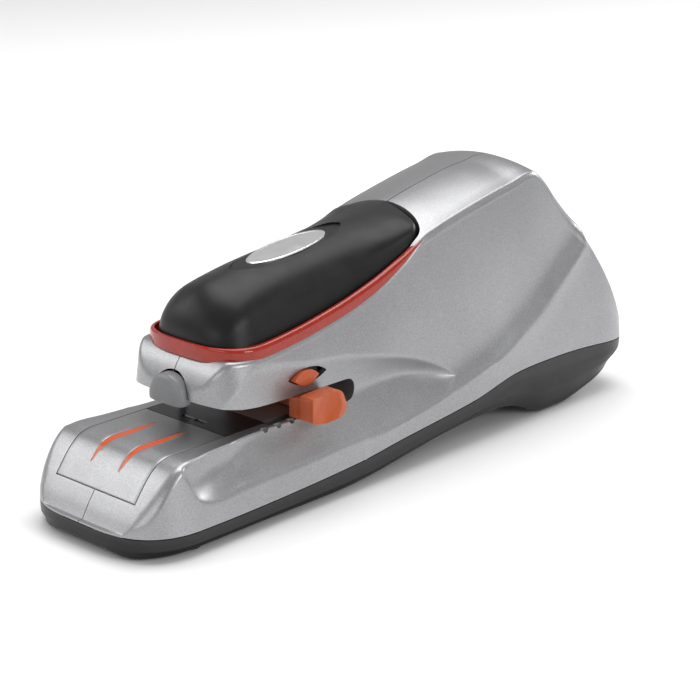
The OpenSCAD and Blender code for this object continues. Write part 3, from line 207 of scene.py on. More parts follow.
def side_x(y, z):
    """Flank with the scoop pressed into it, as a distance from the centre plane."""
    zl, zh = scoop_edges(y)
    u = share(y)
    v = hermite(SCOOP_VALLEY, u)
    tall = np.maximum(zh - zl, 0.6)
    zm = zl + tall * v
    depth = np.where((u > SCOOP_U0) & (u < SCOOP_U1), hermite(SCOOP_DEEP, u), 0)
    r = np.where(z < zm, (z - zm) / (tall * v), (z - zm) / (tall * (1 - v)))
    rim = np.where(r < 0, flank(y, zl), flank(y, zh))
    pw = 1 + hermite(SCOOP_ROUND, u) * np.where(r < 0, 1.2, 1.6)
    chord = rim + (flank(y, zm) - depth - rim) * (1 - np.minimum(np.abs(r), 1.6) ** pw)
    k = np.minimum(0.8, depth * 0.3 + 0.02)
    return np.where((depth > 0.01) & (np.abs(r) < 1.6), smin(flank(y, z), chord, k), flank(y, z))


def smin(a, b, k):
    """The smaller of two values, blended over k."""
    h = clip01(0.5 + 0.5 * (b - a) / k)
    return b * (1 - h) + a * h - k * h * (1 - h)


def pad_plan(y, g=0.0):
    """Share of the pad's width at y, with its ends moved out by g."""
    a = (1 - (1 - clip01((y - PAD_Y0 + g) / 15)) ** 2.2) ** (1 / 3.6)
    b = (1 - clip01((y - PAD_Y1 + 9 - g) / 9) ** 2.2) ** (1 / 2.2)
    return a * b


def ring_plan(y):
    return (1 - (1 - clip01((y - RING_Y0) / 16)) ** 2.2) ** (1 / 3.3)


# ---------------------------------------------------------------- camera
AZ, EL, DIST = math.radians(43.45), math.radians(18.2), 0.7234
target = Vector((0.00299, -0.004, 0.03825))
back = Vector((math.sin(AZ) * math.cos(EL), -math.cos(AZ) * math.cos(EL), math.sin(EL)))
cam_data = bpy.data.cameras.new("camera")
cam_data.lens = 102.86
cam_data.sensor_width = 36
cam_data.clip_start = 0.01
cam_data.clip_end = 50
cam = bpy.data.objects.new("camera", cam_data)
bpy.context.scene.collection.objects.link(cam)
cam.location = target + back * DIST
cam.rotation_euler = (-back).to_track_quat("-Z", "Y").to_euler()
bpy.context.scene.camera = cam
bpy.context.scene.view_settings.view_transform = "Standard"


# ---------------------------------------------------------------- materials
def nodes_of(name):
    mat = bpy.data.materials.new(name)
    mat.use_nodes = True
    nt = mat.node_tree
    return mat, nt, nt.nodes["Principled BSDF"]


def noise(nt, scale, detail=2.0, rough=0.5):
    tc = nt.nodes.new("ShaderNodeTexCoord")
    n = nt.nodes.new("ShaderNodeTexNoise")
    n.inputs["Scale"].default_value = scale
    n.inputs["Detail"].default_value = detail
    n.inputs["Roughness"].default_value = rough
    nt.links.new(tc.outputs["Object"], n.inputs["Vector"])
    return n


def ramp(nt, src, lo, hi, p0=0.35, p1=0.65):
    r = nt.nodes.new("ShaderNodeValToRGB")
    r.color_ramp.elements[0].position = p0
    r.color_ramp.elements[1].position = p1
    r.color_ramp.elements[0].color = lo
    r.color_ramp.elements[1].color = hi
    nt.links.new(src, r.inputs["Fac"])
    return r.outputs["Color"]


def grey(v):
    return (v, v, v, 1)


def tint(c, k):
    return (min(1, c[0] * k), min(1, c[1] * k), min(1, c[2] * k), 1)


def make(name, color, metallic=0.0, rough=0.4, vary=0.06, speck=2600, bump=0.0, bump_scale=3000,
         wear=0.0, coat=0.0, coat_rough=0.1, transmission=0.0, painted_glow=0.0, cloud=25, spread=0.05,
         spec=0.5):
    """Plastic, paint or metal: speckle, slow colour drift, uneven gloss, bump and worn edges; an emission
    strength above zero paints a glow into the surface.
    """
    mat, nt, b = nodes_of(name)
    fine = noise(nt, speck, 2.0, 0.6)
    slow = noise(nt, cloud, 3.0, 0.55)
    base = ramp(nt, fine.outputs["Fac"], tint(color, 1 - vary), tint(color, 1 + vary))
    mix = nt.nodes.new("ShaderNodeMix")
    mix.data_type = "RGBA"
    mix.blend_type = "MULTIPLY"
    mix.inputs["Factor"].default_value = 1.0
    nt.links.new(base, mix.inputs["A"])
    nt.links.new(ramp(nt, slow.outputs["Fac"], grey(1 - vary * 0.6), grey(1.0)), mix.inputs["B"])
    out = mix.outputs["Result"]
    if wear > 0:
        geo = nt.nodes.new("ShaderNodeNewGeometry")
        edge = ramp(nt, geo.outputs["Pointiness"], grey(0), grey(wear), 0.515, 0.56)
        w = nt.nodes.new("ShaderNodeMix")
        w.data_type = "RGBA"
        nt.links.new(edge, w.inputs["Factor"])
        nt.links.new(out, w.inputs["A"])
        w.inputs["B"].default_value = tint([c * 0.7 + 0.3 for c in color], 1.1)
        out = w.outputs["Result"]
    nt.links.new(out, b.inputs["Base Color"])
    b.inputs["Metallic"].default_value = metallic
    blotch = noise(nt, cloud * 6, 4.0, 0.6)
    nt.links.new(ramp(nt, blotch.outputs["Fac"], grey(max(0.02, rough - spread)),
                      grey(rough + spread), 0.3, 0.7), b.inputs["Roughness"])
    b.inputs["IOR"].default_value = 1.5
    b.inputs["Specular IOR Level"].default_value = spec
    b.inputs["Coat Weight"].default_value = coat
    b.inputs["Coat Roughness"].default_value = coat_rough
    b.inputs["Transmission Weight"].default_value = transmission
    # emission here is a painted glow: the surface shines as if lit from inside, though no lamp is there
    if painted_glow > 0:
        b.inputs["Emission Color"].default_value = (color[0], color[1], color[2], 1)
        b.inputs["Emission Strength"].default_value = painted_glow
    if bump > 0:
        bn = nt.nodes.new("ShaderNodeBump")
        bn.inputs["Strength"].default_value = bump
        bn.inputs["Distance"].default_value = 0.00006
        grain = noise(nt, bump_scale, 3.0, 0.6)
        nt.links.new(grain.outputs["Fac"], bn.inputs["Height"])
        nt.links.new(bn.outputs["Normal"], b.inputs["Normal"])
    return mat


def brushed(name, color, rough=0.3, stretch=(1, 40, 1)):
    """Sheet steel with a drawn grain."""
    mat, nt, b = nodes_of(name)
    tc = nt.nodes.new("ShaderNodeTexCoord")
    mp = nt.nodes.new("ShaderNodeMapping")
    mp.inputs["Scale"].default_value = stretch
    n = nt.nodes.new("ShaderNodeTexNoise")
    n.inputs["Scale"].default_value = 90
    n.inputs["Detail"].default_value = 6
    nt.links.new(tc.outputs["Object"], mp.inputs["Vector"])
    nt.links.new(mp.outputs["Vector"], n.inputs["Vector"])
    nt.links.new(ramp(nt, n.outputs["Fac"], tint(color, 0.8), tint(color, 1.12)),
                 b.inputs["Base Color"])
    nt.links.new(ramp(nt, n.outputs["Fac"], grey(rough - 0.08), grey(rough + 0.1)),
                 b.inputs["Roughness"])
    b.inputs["Metallic"].default_value = 1.0
    bn = nt.nodes.new("ShaderNodeBump")
    bn.inputs["Strength"].default_value = 0.25
    bn.inputs["Distance"].default_value = 0.00005
    nt.links.new(n.outputs["Fac"], bn.inputs["Height"])
    nt.links.new(bn.outputs["Normal"], b.inputs["Normal"])
    return mat


M = {
    "silver_plastic": make("silver_paint", (0.37, 0.37, 0.38), metallic=0.85, rough=0.36, vary=0.14,
                           speck=2400, bump=0.2, bump_scale=2600, coat=0.15, coat_rough=0.25,
                           spread=0.02, wear=0.10),
    "black_plastic": make("pan_black", (0.010, 0.010, 0.011), spec=0.3, rough=0.36, vary=0.25, speck=1800,
                          bump=0.25, bump_scale=5200, coat=0.05, wear=0.05),
    "pad_black": make("pad_black", (0.006, 0.006, 0.0065), spec=0.3, rough=0.38, vary=0.3, speck=4800,
                      bump=0.7, bump_scale=3600, coat=0.04, coat_rough=0.3, wear=0.03),
    "orange_plastic": make("orange_key", (0.46, 0.068, 0.004), rough=0.42, spec=0.35, vary=0.05, speck=1500,
                           bump=0.12, wear=0.12, coat=0.25, coat_rough=0.2),
    "stripe_orange": make("stripe_orange", (0.62, 0.085, 0.010), rough=0.3, vary=0.06, speck=1800,
                          bump=0.1, coat=0.2),
    # the ring lens gets a faint painted glow from its emission
    "ring_lens": make("ring_lens", (0.36, 0.016, 0.004), rough=0.12, vary=0.10, speck=500,
                      bump=0.05, coat=0.35, coat_rough=0.06, transmission=0.1, painted_glow=0.03, cloud=60,
                      spec=0.4),
    "grey_plastic": make("button_grey", (0.20, 0.205, 0.21), rough=0.45, vary=0.08, speck=3800,
                         bump=0.3, metallic=0.25, wear=0.1),
    "dark_plastic": make("inner_black", (0.02, 0.02, 0.022), rough=0.5, vary=0.2, bump=0.3),
    "white_plastic": make("gear_white", (0.72, 0.70, 0.64), rough=0.42, vary=0.05, bump=0.15,
                          wear=0.1),
    "board_green": make("board_green", (0.02, 0.13, 0.06), rough=0.32, vary=0.25, speck=700,
                        bump=0.2, coat=0.4),
    "bright_steel": brushed("bright_steel", (0.56, 0.57, 0.58), 0.28),
    "dark_steel": brushed("dark_steel", (0.09, 0.09, 0.095), 0.36),
    "badge_metal": make("badge_metal", (0.86, 0.86, 0.87), metallic=0.9, rough=0.24, vary=0.03,
                        speck=2600, bump=0.1),
    "brass": brushed("brass", (0.70, 0.50, 0.20), 0.25),
    "rubber": make("foot_rubber", (0.02, 0.02, 0.02), rough=0.75, vary=0.3, speck=900, bump=0.6,
                   bump_scale=1200),
}
slot_of = {s["node"]: s["material_slot"] for s in frame["record"]["subparts"]}
for node, slot in slot_of.items():
    ob = bpy.data.objects.get(node)
    if ob is not None and ob.type == "MESH":
        for ms in ob.material_slots:
            ms.material = M[slot]
        if not ob.material_slots:
            ob.data.materials.append(M[slot])


# ---------------------------------------------------------------- mesh helpers
def to_object(name, bm, mat):
    """Turns a bmesh into an object of the scene, with its normals facing out."""
    bmesh.ops.recalc_face_normals(bm, faces=bm.faces)
    me = bpy.data.meshes.new(name)
    bm.to_mesh(me)
    bm.free()
    me.materials.append(mat)
    ob = bpy.data.objects.new(name, me)
    bpy.context.scene.collection.objects.link(ob)
    return ob


def loft(name, rows, mat, weld=False):
    """Closed solid through rows of points, in mm; every row has the same number of points."""
    bm = bmesh.new()
    rings = [[bm.verts.new((p[0] * MM, p[1] * MM, p[2] * MM)) for p in row] for row in rows]
    n = len(rings[0])
    for a, b in zip(rings[:-1], rings[1:]):
        for k in range(n):
            bm.faces.new([a[k], a[(k + 1) % n], b[(k + 1) % n], b[k]])
    bm.faces.new(rings[0][::-1])
    bm.faces.new(rings[-1])
    if weld:
        bmesh.ops.remove_doubles(bm, verts=bm.verts, dist=1e-7)
        bmesh.ops.dissolve_degenerate(bm, edges=bm.edges, dist=1e-6)
    return to_object(name, bm, mat)


def prism(name, outline, axis, lo, hi, mat=None):
    """Closed solid: a 2-D outline in mm, extruded along an axis from lo to hi."""
    def point(p, h):
        return {"x": (h, p[0], p[1]), "y": (p[0], h, p[1]), "z": (p[0], p[1], h)}[axis]
    rows = [[point(p, h) for p in outline] for h in (lo, hi)]
    return loft(name, rows, mat or M["dark_plastic"], weld=True)


def block(x0, y0, z0, x1, y1, z1):
    return prism("cutter", [(x0, y0), (x1, y0), (x1, y1), (x0, y1)], "z", z0, z1)


def turned(name, profile, at, axis, mat, n=96, stretch=(1, 1)):
    """Revolves (radius, height) pairs about an axis through at; stretch makes the rings oval."""
    bm = bmesh.new()
    prev = None
    for r, h in profile:
        co = [(0, 0)]
        if r > 1e-6:
            turns = [2 * math.pi * k / n for k in range(n)]
            co = [(r * stretch[0] * math.cos(t), r * stretch[1] * math.sin(t)) for t in turns]
        row = []
        for a, b in co:
            v = {"x": (h, a, b), "y": (a, h, b), "z": (a, b, h)}[axis]
            row.append(bm.verts.new([(at[i] + v[i]) * MM for i in range(3)]))
        if prev is not None:
            for k in range(n):
                quad = (prev[k % len(prev)], prev[(k + 1) % len(prev)],
                        row[(k + 1) % len(row)], row[k % len(row)])
                corners = [v for i, v in enumerate(quad) if v not in quad[:i]]
                if len(corners) >= 3:
                    bm.faces.new(corners)
        prev = row
    if len(prev) > 1:
        bm.faces.new(prev[::-1])
    return to_object(name, bm, mat)


def apply_mods(ob):
    bpy.context.view_layer.update()
    dg = bpy.context.evaluated_depsgraph_get()
    me = bpy.data.meshes.new_from_object(ob.evaluated_get(dg))
    ob.modifiers.clear()
    ob.data = me


def boolean(ob, other, op="DIFFERENCE"):
    m = ob.modifiers.new("bool", "BOOLEAN")
    m.operation = op
    m.solver = "MANIFOLD"
    m.object = other
    apply_mods(ob)
    bpy.data.objects.remove(other)


def bevel(ob, w, seg, deg):
    m = ob.modifiers.new("edge", "BEVEL")
    m.width = w * MM
    m.segments = seg
    m.limit_method = "ANGLE"
    m.angle_limit = math.radians(deg)
    m.harden_normals = False
    apply_mods(ob)


def by_angle(ob, deg):
    """Smooth shading, except over edges sharper than deg."""
    me = ob.data
    for p in me.polygons:
        p.use_smooth = True
    me.set_sharp_from_angle(angle=math.radians(deg))


def clean(ob, deg, width=0.0, seg=2):
    """Welds what a boolean left split, rounds the edges by width and sets the shading."""
    bm = bmesh.new()
    bm.from_mesh(ob.data)
    bmesh.ops.remove_doubles(bm, verts=bm.verts, dist=4e-6)
    bmesh.ops.dissolve_degenerate(bm, edges=bm.edges, dist=2e-6)
    bm.to_mesh(ob.data)
    bm.free()
    if width > 0:
        bevel(ob, width, seg, deg)
    by_angle(ob, deg)


def paint(ob, name, mat):
    """Names a finished piece and gives it its one material."""
    ob.name = name
    ob.data.materials.clear()
    ob.data.materials.append(M[mat])


# ---------------------------------------------------------------- outlines
def circle(cx, cy, r, n=48, a0=0.0, a1=360.0):
    full = abs(a1 - a0) >= 360
    k = n if full else n + 1
    return [(cx + r * math.cos(math.radians(a0 + (a1 - a0) * i / n)),
             cy + r * math.sin(math.radians(a0 + (a1 - a0) * i / n))) for i in range(k)]


def arc_corner(x1, z1, r, n=7):
    """Rounded corner from the side, below (x1, z1), to the top, inside of it."""
    return [(x1 - r + r * math.cos(math.pi / 2 * k / n), z1 - r + r * math.sin(math.pi / 2 * k / n))
            for k in range(n + 1)]


def eye_outline(l, h, cy, cz, n=40):
    """Two arcs that meet in a point at each end."""
    rr = (l * l / 4 + h * h / 4) / h
    a = math.asin(l / 2 / rr)
    up = [(cy + rr * math.sin(t), cz - rr + h / 2 + rr * math.cos(t)) for t in np.linspace(-a, a, n)]
    dn = [(cy + rr * math.sin(t), cz + rr - h / 2 - rr * math.cos(t)) for t in np.linspace(a, -a, n)]
    return up + dn[1:-1]


def lens_outline(half_w, half_l, n, power):
    """Superellipse; a power under 2 pulls its ends to a point."""
    def side(v):
        return math.copysign(abs(v) ** (2 / power), v)
    turns = np.linspace(0, 2 * math.pi, n, endpoint=False)
    return [(half_w * side(math.cos(t)), half_l * side(math.sin(t))) for t in turns]


def hull_outline(circles, n=40):
    """Convex outline round a few circles (y, z, r)."""
    pts = [(a[0] + a[2] * math.cos(t), a[1] + a[2] * math.sin(t)) for a in circles
           for t in np.linspace(0, 2 * math.pi, n, endpoint=False)]
    pts = sorted(set((round(p[0], 4), round(p[1], 4)) for p in pts))

    def half_hull(seq):
        out = []
        for p in seq:
            while len(out) > 1 and ((out[-1][0] - out[-2][0]) * (p[1] - out[-2][1])
                                    - (out[-1][1] - out[-2][1]) * (p[0] - out[-2][0])) <= 0:
                out.pop()
            out.append(p)
        return out
    return half_hull(pts)[:-1] + half_hull(pts[::-1])[:-1]


def spaced(a, b, n, ends="both"):
    """n numbers from a to b, closer together at one end or at both."""
    t = np.linspace(0, 1, n)
    if ends == "both":
        t = 0.5 - 0.5 * np.cos(np.pi * t)
    elif ends == "low":
        t = 1 - np.cos(np.pi / 2 * t)
    else:
        t = np.sin(np.pi / 2 * t)
    return a + (b - a) * t


def sections(ys, half):
    """Rows for a loft: the right half outline (x, z) at each y, mirrored to the left."""
    rows = []
    for y in ys:
        right_half = list(half(y))
        outline = right_half + [(-x, z) for x, z in reversed(right_half)]
        rows.append([(x, y, z) for x, z in outline])
    return rows


def inner_of(fn, ys, lo, hi, g, drop):
    """Solid of the hollow: the sections between lo and hi, set in by g and lowered by drop."""
    keep = [y for y in ys if lo <= y <= hi]
    return loft("inner", sections(keep, lambda y: fn(y, g, drop)), M["dark_plastic"])


# ---------------------------------------------------------------- sections of the shells
def side_levels(y, zb, zt):
    """Heights up the side, gathered near the edges of the scoop."""
    zl, zh = (float(v) for v in scoop_edges(y))
    a = min(max(zl, zb + 0.2), zt - 0.4)
    b = min(max(zh, a + 0.1), zt - 0.2)
    return np.concatenate([spaced(zb, a, 11), spaced(a, b, 31)[1:], spaced(b, zt, 25)[1:]])


def base_half(y, g=0.0, drop=0.0):
    """Base below the throat. It ends just inside the head, set in so that no face is shared."""
    p = float(front_plan(y))
    g = g + (0.06 if y > SEAM + 0.01 else 0)
    zt = float(deck_top(y - g)) - drop
    zp = float(parting(y)) - (2 if g > 0 else 0)
    zt = max(zt, zp + 0.6)
    r = 4.6 - 3.8 * float(smooth((y - FRONT - 8) / 22))
    r = min(r, (zt - zp) * 0.6)
    zs = side_levels(y, zp, zt - r)
    side = list(zip(np.maximum(0.4, side_x(y, zs) * p - g), zs))
    w = side[-1][0]
    r = min(r, w * 0.8)
    top = arc_corner(w, zt, r)[1:]
    return side + top + [((w - r) * k, zt) for k in (0.8, 0.6, 0.4, 0.2, 0.02)]


def head_half(y, g=0.0, drop=0.0):
    """Head over the throat, and from the seam on the whole side down to the parting line."""
    p = float(nose_plan(y - TIP) if y < 0 else rear_plan(y))
    r = 2.2 + 5 * float(clip01((y - min(y, CROWN_Y)) / 12))
    zt = float(shoulder(y))
    if y < TIP + 11.9:
        zt = min(zt, CEIL + HEAD_H * float(hermite(NOSE_TOP, y - TIP)))
    zt -= drop
    zb = float(parting(y)) - (2 if g > 0 else 0)
    c = float(crown(y))
    r = max(0.1, min(r, (zt - zb) * 0.45))
    zs = side_levels(y, zb, zt - r)
    xs = np.maximum(0.5, side_x(y, zs) * p - g)
    if y < SEAM:
        # what would lie below the throat's ceiling is tucked in where the throat is cut away
        cut_z = CEIL - 1.5
        xs = np.where(zs > cut_z, xs, 8)
        zs = np.where(zs > cut_z, zs, cut_z - 0.2 * (cut_z - zs) / (cut_z - zb))
    out = list(zip(xs, zs))
    w = out[-1][0]
    r = min(r, w * 0.6)
    x_in, z_in = w - r, zt + c * (1 - (1 - r / w) ** 2)
    for i in range(1, 10):
        t = math.pi / 2 * i / 9
        out.append((w - r + r * math.cos(t), (zt - r) + (z_in - zt + r) * math.sin(t)))
    for f in (0.86, 0.7, 0.54, 0.4, 0.27, 0.14, 0.01):
        x = x_in * f
        out.append((x, zt + c * (1 - (x / w) ** 2)))
    return [(x, min(z, BODY_H - 0.05)) for x, z in out]


def throat_solid(g=0.0):
    """The throat with its round end, grown by g; its ceiling rises toward the nose."""
    r = GAP / 2 + g
    cz = DECK_Z + GAP / 2
    pts = [(FRONT - 6, cz - r), (SEAM, cz - r)]
    pts += [(SEAM + r * math.sin(math.pi * i / 28), cz - r * math.cos(math.pi * i / 28))
            for i in range(1, 28)]
    pts += [(SEAM, cz + r)]
    pts += [(TIP + d, cz + r + rise) for d, rise in LIP_RISE]
    pts += [(FRONT - 6, cz + r + LIP_RISE[-1][1])]
    return prism("throat", pts, "x", -HALF_W - 12, HALF_W + 12)


def cover_solid(hw, over, deep, y1, y0):
    """The front panel of the base between x = -hw and hw, from over above its surface down."""
    ys = [y0] + [y for y in base_ys if y0 + 0.05 < y < y1 - 0.05] + [y1]
    rows = []
    for y in ys:
        p = float(front_plan(y))
        w = min(hw, max(0.4, float(flank(y, float(deck_top(y)))) * p))
        zt = float(deck_top(y)) + over
        across = w * np.linspace(-1, 1, 25)
        rows.append([(x, y, zt - deep) for x in across] + [(x, y, zt) for x in across[::-1]])
    return loft("cover_region", rows, M["silver_plastic"])


def pad_hole(z0):
    """Cutter for the opening that the pad moves in, from z0 up."""
    ys = spaced(PAD_Y0 - TRIM, PAD_Y1 + TRIM, 71)
    half = [((PAD_W / 2 + TRIM) * float(pad_plan(y, TRIM)), y) for y in ys]
    return prism("opening", half + [(-x, y) for x, y in half[::-1][1:-1]], "z", z0, 200)


# ---------------------------------------------------------------- shells
base_ys = np.concatenate([spaced(FRONT + 0.06, FRONT + 26, 48, "low"),
                          np.linspace(FRONT + 27, SEAM, 56), [SEAM + 0.04, SEAM + 0.5]])
head_ys = np.concatenate([spaced(TIP + 0.05, TIP + 18, 30, "low"),
                          np.linspace(TIP + 19, SEAM - 0.01, 36), np.linspace(SEAM + 0.02, 0, 14),
                          np.linspace(1.5, FRONT + .6 * BODY_L, 22),
                          np.linspace(FRONT + .605 * BODY_L, FRONT + .77 * BODY_L, 26),
                          np.linspace(FRONT + .775 * BODY_L, REAR - 22, 26),
                          spaced(REAR - 21, REAR - 0.12, 22, "high")])


def build_shells():
    """Both shells in one piece: skin, hollow, throat, and the openings on the centre line."""
    body = loft("body", sections(head_ys, head_half), M["silver_plastic"])
    boolean(body, loft("base", sections(base_ys, base_half), M["silver_plastic"]), "UNION")
    inner = inner_of(head_half, head_ys, TIP + 3, REAR - 5, WALL, WALL + 0.8)
    boolean(inner, inner_of(base_half, base_ys, FRONT + 8, SEAM + 1, WALL, WALL + 2.4), "UNION")
    boolean(inner, throat_solid(WALL))
    boolean(body, inner)
    boolean(body, throat_solid())
    boolean(body, pad_hole(CEIL + 3))
    # arch for the button, and the slot under the magazine
    hood = circle(0, ARCH_TOP - ARCH_R, ARCH_R, 60, 0, 180) + [(-ARCH_R, CEIL - 1), (ARCH_R, CEIL - 1)]
    boolean(body, prism("arch", hood, "y", NOSE - 5, DRIVE + 6))
    slot_hw = RAIL_HW + TRIM
    boolean(body, block(-slot_hw, NOSE - 5, CEIL - 1, slot_hw, THROAT + 6, CEIL + 4))
    # recess of the anvil cover
    boolean(body, cover_solid(COVER_HW, 4, 6.3, ANVIL_Y0 + 0.2, COVER_Y0 - TRIM))
    boolean(body, block(-COVER_HW, ANVIL_Y0 - 1, DECK_Z - 2, COVER_HW, ANVIL_Y1 + TRIM, DECK_Z + 8))
    return body


left = build_shells()
right = bpy.data.objects.new("right_half", left.data.copy())
bpy.context.scene.collection.objects.link(right)
boolean(left, block(-60, -200, -20, -SEAM_GAP / 2, 200, 200), "INTERSECT")
boolean(right, block(SEAM_GAP / 2, -200, -20, 60, 200, 200), "INTERSECT")
eye_slot = eye_outline(EYE_L + EYE_T + 2.4, EYE_H + 1.2, EYE_Y + EYE_T / 2, EYE_Z)
boolean(right, prism("eye", eye_slot, "x", 15, HALF_W + 2))
boolean(right, block(SLIT_X - SLIT_HW, STOP_Y - 20, DECK_Z - 6, SLIT_X + SLIT_HW, STOP_Y + 3, DECK_Z + 4))
for i in range(4):
    notch = circle(STOP_Y - 4.4 - NOTCH_STEP * i, DECK_Z, NOTCH_R, 24)
    boolean(right, prism("notch", notch, "x", 23, 36))
for ob, node in ((left, "left_shell"), (right, "right_shell")):
    by_angle(ob, 30)
    paint(ob, node + "_skin", "silver_plastic")
    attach(ob, "housing")
    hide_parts(node)


# ---------------------------------------------------------------- base pan
def pan_half(y, g=0.0):
    """Pan from the parting line down, set in by g."""
    p = float(front_plan(y) * rear_plan(y))
    zb, zt = float(pan_bottom(y)), float(parting(y)) - TRIM
    h = zt - zb
    wt = HALF_W * p - g
    wb = wt - 3.2 * p * float(clip01(h / 8))
    if g > 0:
        zt += 3
    r = min(2.4, h * 0.3)
    pts = [(max(0.3, wt), zt), (max(0.3, wt - 0.05), zb + max(g, h * 0.7))]
    a, b = Vector((wt - 0.2, zb + max(g, h * 0.5))), Vector((wb, zb + g + r))
    for t in np.linspace(0, 1, 5):
        pts.append((max(0.3, a.x + (b.x - a.x) * t), a.y + (b.y - a.y) * t))
    for t in np.linspace(0, 1, 6)[1:]:
        q = t * math.pi / 2
        pts.append((max(0.2, wb - r * (1 - math.cos(q))), zb + g + r * (1 - math.sin(q))))
    pts.append((0.05, zb + g))
    return pts[::-1]


pan_ys = np.concatenate([spaced(FRONT + 0.05, FRONT + 26, 26, "low"),
                         np.linspace(FRONT + 30, REAR - 22, 90),
                         spaced(REAR - 21, REAR - 0.12, 22, "high")])
pan = loft("pan", sections(pan_ys, pan_half), M["black_plastic"])
pan_inner_ys = [y for y in pan_ys if FRONT + 4 < y < REAR - 6]
boolean(pan, loft("inner", sections(pan_inner_ys, lambda y: pan_half(y, WALL)), M["black_plastic"]))
for x, y in ((24, FRONT + 25), (23, FRONT + .811 * BODY_L)):
    for s in (-1, 1):
        boolean(pan, prism("foot", circle(s * x, y, FOOT_R), "z", -1, 1.5))
boolean(pan, prism("inlet", circle(INLET_X, INLET_Z, INLET_R), "y", REAR - 20, REAR + 5))
clean(pan, 32)
paint(pan, "base_pan_skin", "black_plastic")
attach(pan, "housing")
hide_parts("base_pan")


# ---------------------------------------------------------------- top pad
def pad_top(y):
    """Height of the pad's ridge, rounded down to the ring over its first stretch."""
    z = CEIL + HEAD_H * float(hermite(PAD_LINE, share(y)))
    if y < PAD_Y0 + PAD_NOSE:
        low = float(shoulder(PAD_Y0)) + 2.5
        t = max(0.0, (y - PAD_Y0) / PAD_NOSE)
        z = low + (z - low) * (1 - (1 - t) ** 2.6) ** (1 / 2.3)
    return z


def pad_half(y, g=0.0):
    """Pad with leaning sides, a rounded edge and a slightly arched top, set in by g."""
    w = max(0.4, PAD_W / 2 * float(pad_plan(y)) - g)
    z_rim = float(shoulder(y)) - 2.2 - g * 4
    zt = max(float(pad_top(y)) - g, z_rim + 0.8)
    h = zt - z_rim
    lean, fall = min(4.4, 0.2 * h, w * 0.5), min(6.0, 0.3 * h)
    wc, zc = w - lean, zt - fall
    a = (wc + lean * 0.32, zc - (zc - z_rim) * 0.32)
    b = (wc * 0.6, zc + fall * (1 - 0.6 ** 1.7))
    pts = [(w + (a[0] - w) * t, z_rim + (a[1] - z_rim) * t) for t in np.linspace(0, 1, 7)]
    for t in np.linspace(0, 1, 11)[1:]:
        f0, f1, f2 = (1 - t) ** 2, 2 * t * (1 - t), t * t
        pts.append((f0 * a[0] + f1 * wc + f2 * b[0], f0 * a[1] + f1 * zc + f2 * b[1]))
    pts += [(max(0.02, wc * f), zc + fall * (1 - f ** 1.7)) for f in (.5, .4, .3, .2, .1, 0)]
    return pts


pad_ys = np.concatenate([spaced(PAD_Y0 + 0.02, PAD_Y0 + 22, 46, "low"),
                         np.linspace(PAD_Y0 + 23, PAD_Y1 - 10, 40),
                         spaced(PAD_Y1 - 9.4, PAD_Y1 - 0.03, 26, "high")])
pad = loft("pad", sections(pad_ys, pad_half), M["pad_black"])
pad_inner_ys = [y for y in pad_ys if PAD_Y0 + 2.2 < y < PAD_Y1 - 2]
boolean(pad, loft("inner", sections(pad_inner_ys, lambda y: pad_half(y, 1.8)), M["pad_black"]))
badge_y = FRONT + 0.372 * BODY_L
box_lo, box_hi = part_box("pad_badge")
badge_z = (box_lo[2] + box_hi[2]) / 2 / MM
slope = math.atan2(pad_top(badge_y + 20) - pad_top(badge_y - 20), 40)


def on_pad(ob, lift=0.0):
    """Tilts a piece made flat at z = 0 to lie along the pad's ridge at the badge."""
    for v in ob.data.vertices:
        x, y, z = v.co
        c, s = math.cos(slope), math.sin(slope)
        v.co = (x, badge_y * MM + y * c - z * s, (badge_z + lift) * MM + y * s + z * c)
    return ob


# recess that widens toward its rim
recess = [[(x, y, z) for x, y in lens_outline(9.6 + k, 26.5 + k * 2.2, 72, 1.7)]
          for z, k in ((-0.35, 0.0), (0.3, 0.0), (0.9, 0.55), (1.6, 1.6), (2.6, 3.6), (4, 6.6))]
boolean(pad, on_pad(loft("recess", recess, M["pad_black"])))
clean(pad, 38)
paint(pad, "top_pad_skin", "pad_black")
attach(pad, "pad")
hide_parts("top_pad")

# badge: a crowned oval with a raised rim, left blank
BADGE = [(0, .62), (.2, .615), (.4, .59), (.6, .55), (.78, .49), (.86, .44), (.885, .50), (.91, .56),
         (.95, .56), (.985, .48), (1, .34), (1, 0)]
badge = turned("badge", BADGE, (0, 0, 0), "z", M["badge_metal"], 96, (BADGE_HW, BADGE_HL))
on_pad(badge, -0.35)
by_angle(badge, 40)
paint(badge, "badge_plate", "badge_metal")
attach(badge, "pad")
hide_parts("pad_badge")


# ---------------------------------------------------------------- light ring lens, with a faint painted glow
def ring_half(y):
    """Ring on the shoulder, with a rounded outer edge; it thins out toward the back."""
    w = max(0.4, (HALF_W - LEAN) * float(ring_plan(y)) - 0.15)
    zs = float(shoulder(y))
    h = max(0.25, RING_H * (1 - float(clip01((y - RING_Y1 + 40) / 40)) ** 2.4))
    pts = [(w * 0.5, zs - 1.5), (w, zs - 1.5), (w, zs + 0.25)]
    r = min(1.5, h * 0.6)
    pts += arc_corner(w, zs + h, r, 8)
    return [(max(0.1, x), z) for x, z in pts] + [(w * 0.5, zs + h)]


ring_ys = np.concatenate([spaced(RING_Y0 + 0.02, RING_Y0 + 18, 40, "low"),
                          np.linspace(RING_Y0 + 19, RING_Y1, 60)])
ring = loft("ring", sections(ring_ys, ring_half), M["ring_lens"])
boolean(ring, pad_hole(0))
clean(ring, 40)
paint(ring, "light_ring_lens", "ring_lens")
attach(ring, "housing")
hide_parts("light_ring")


# ---------------------------------------------------------------- anvil cover and its stripes
def stripe_line(s, t, w):
    return (s * 7 + w + 0.9 * math.sin(math.radians(150 * t)) - 0.5, FRONT + 12.2 + 29 * t)


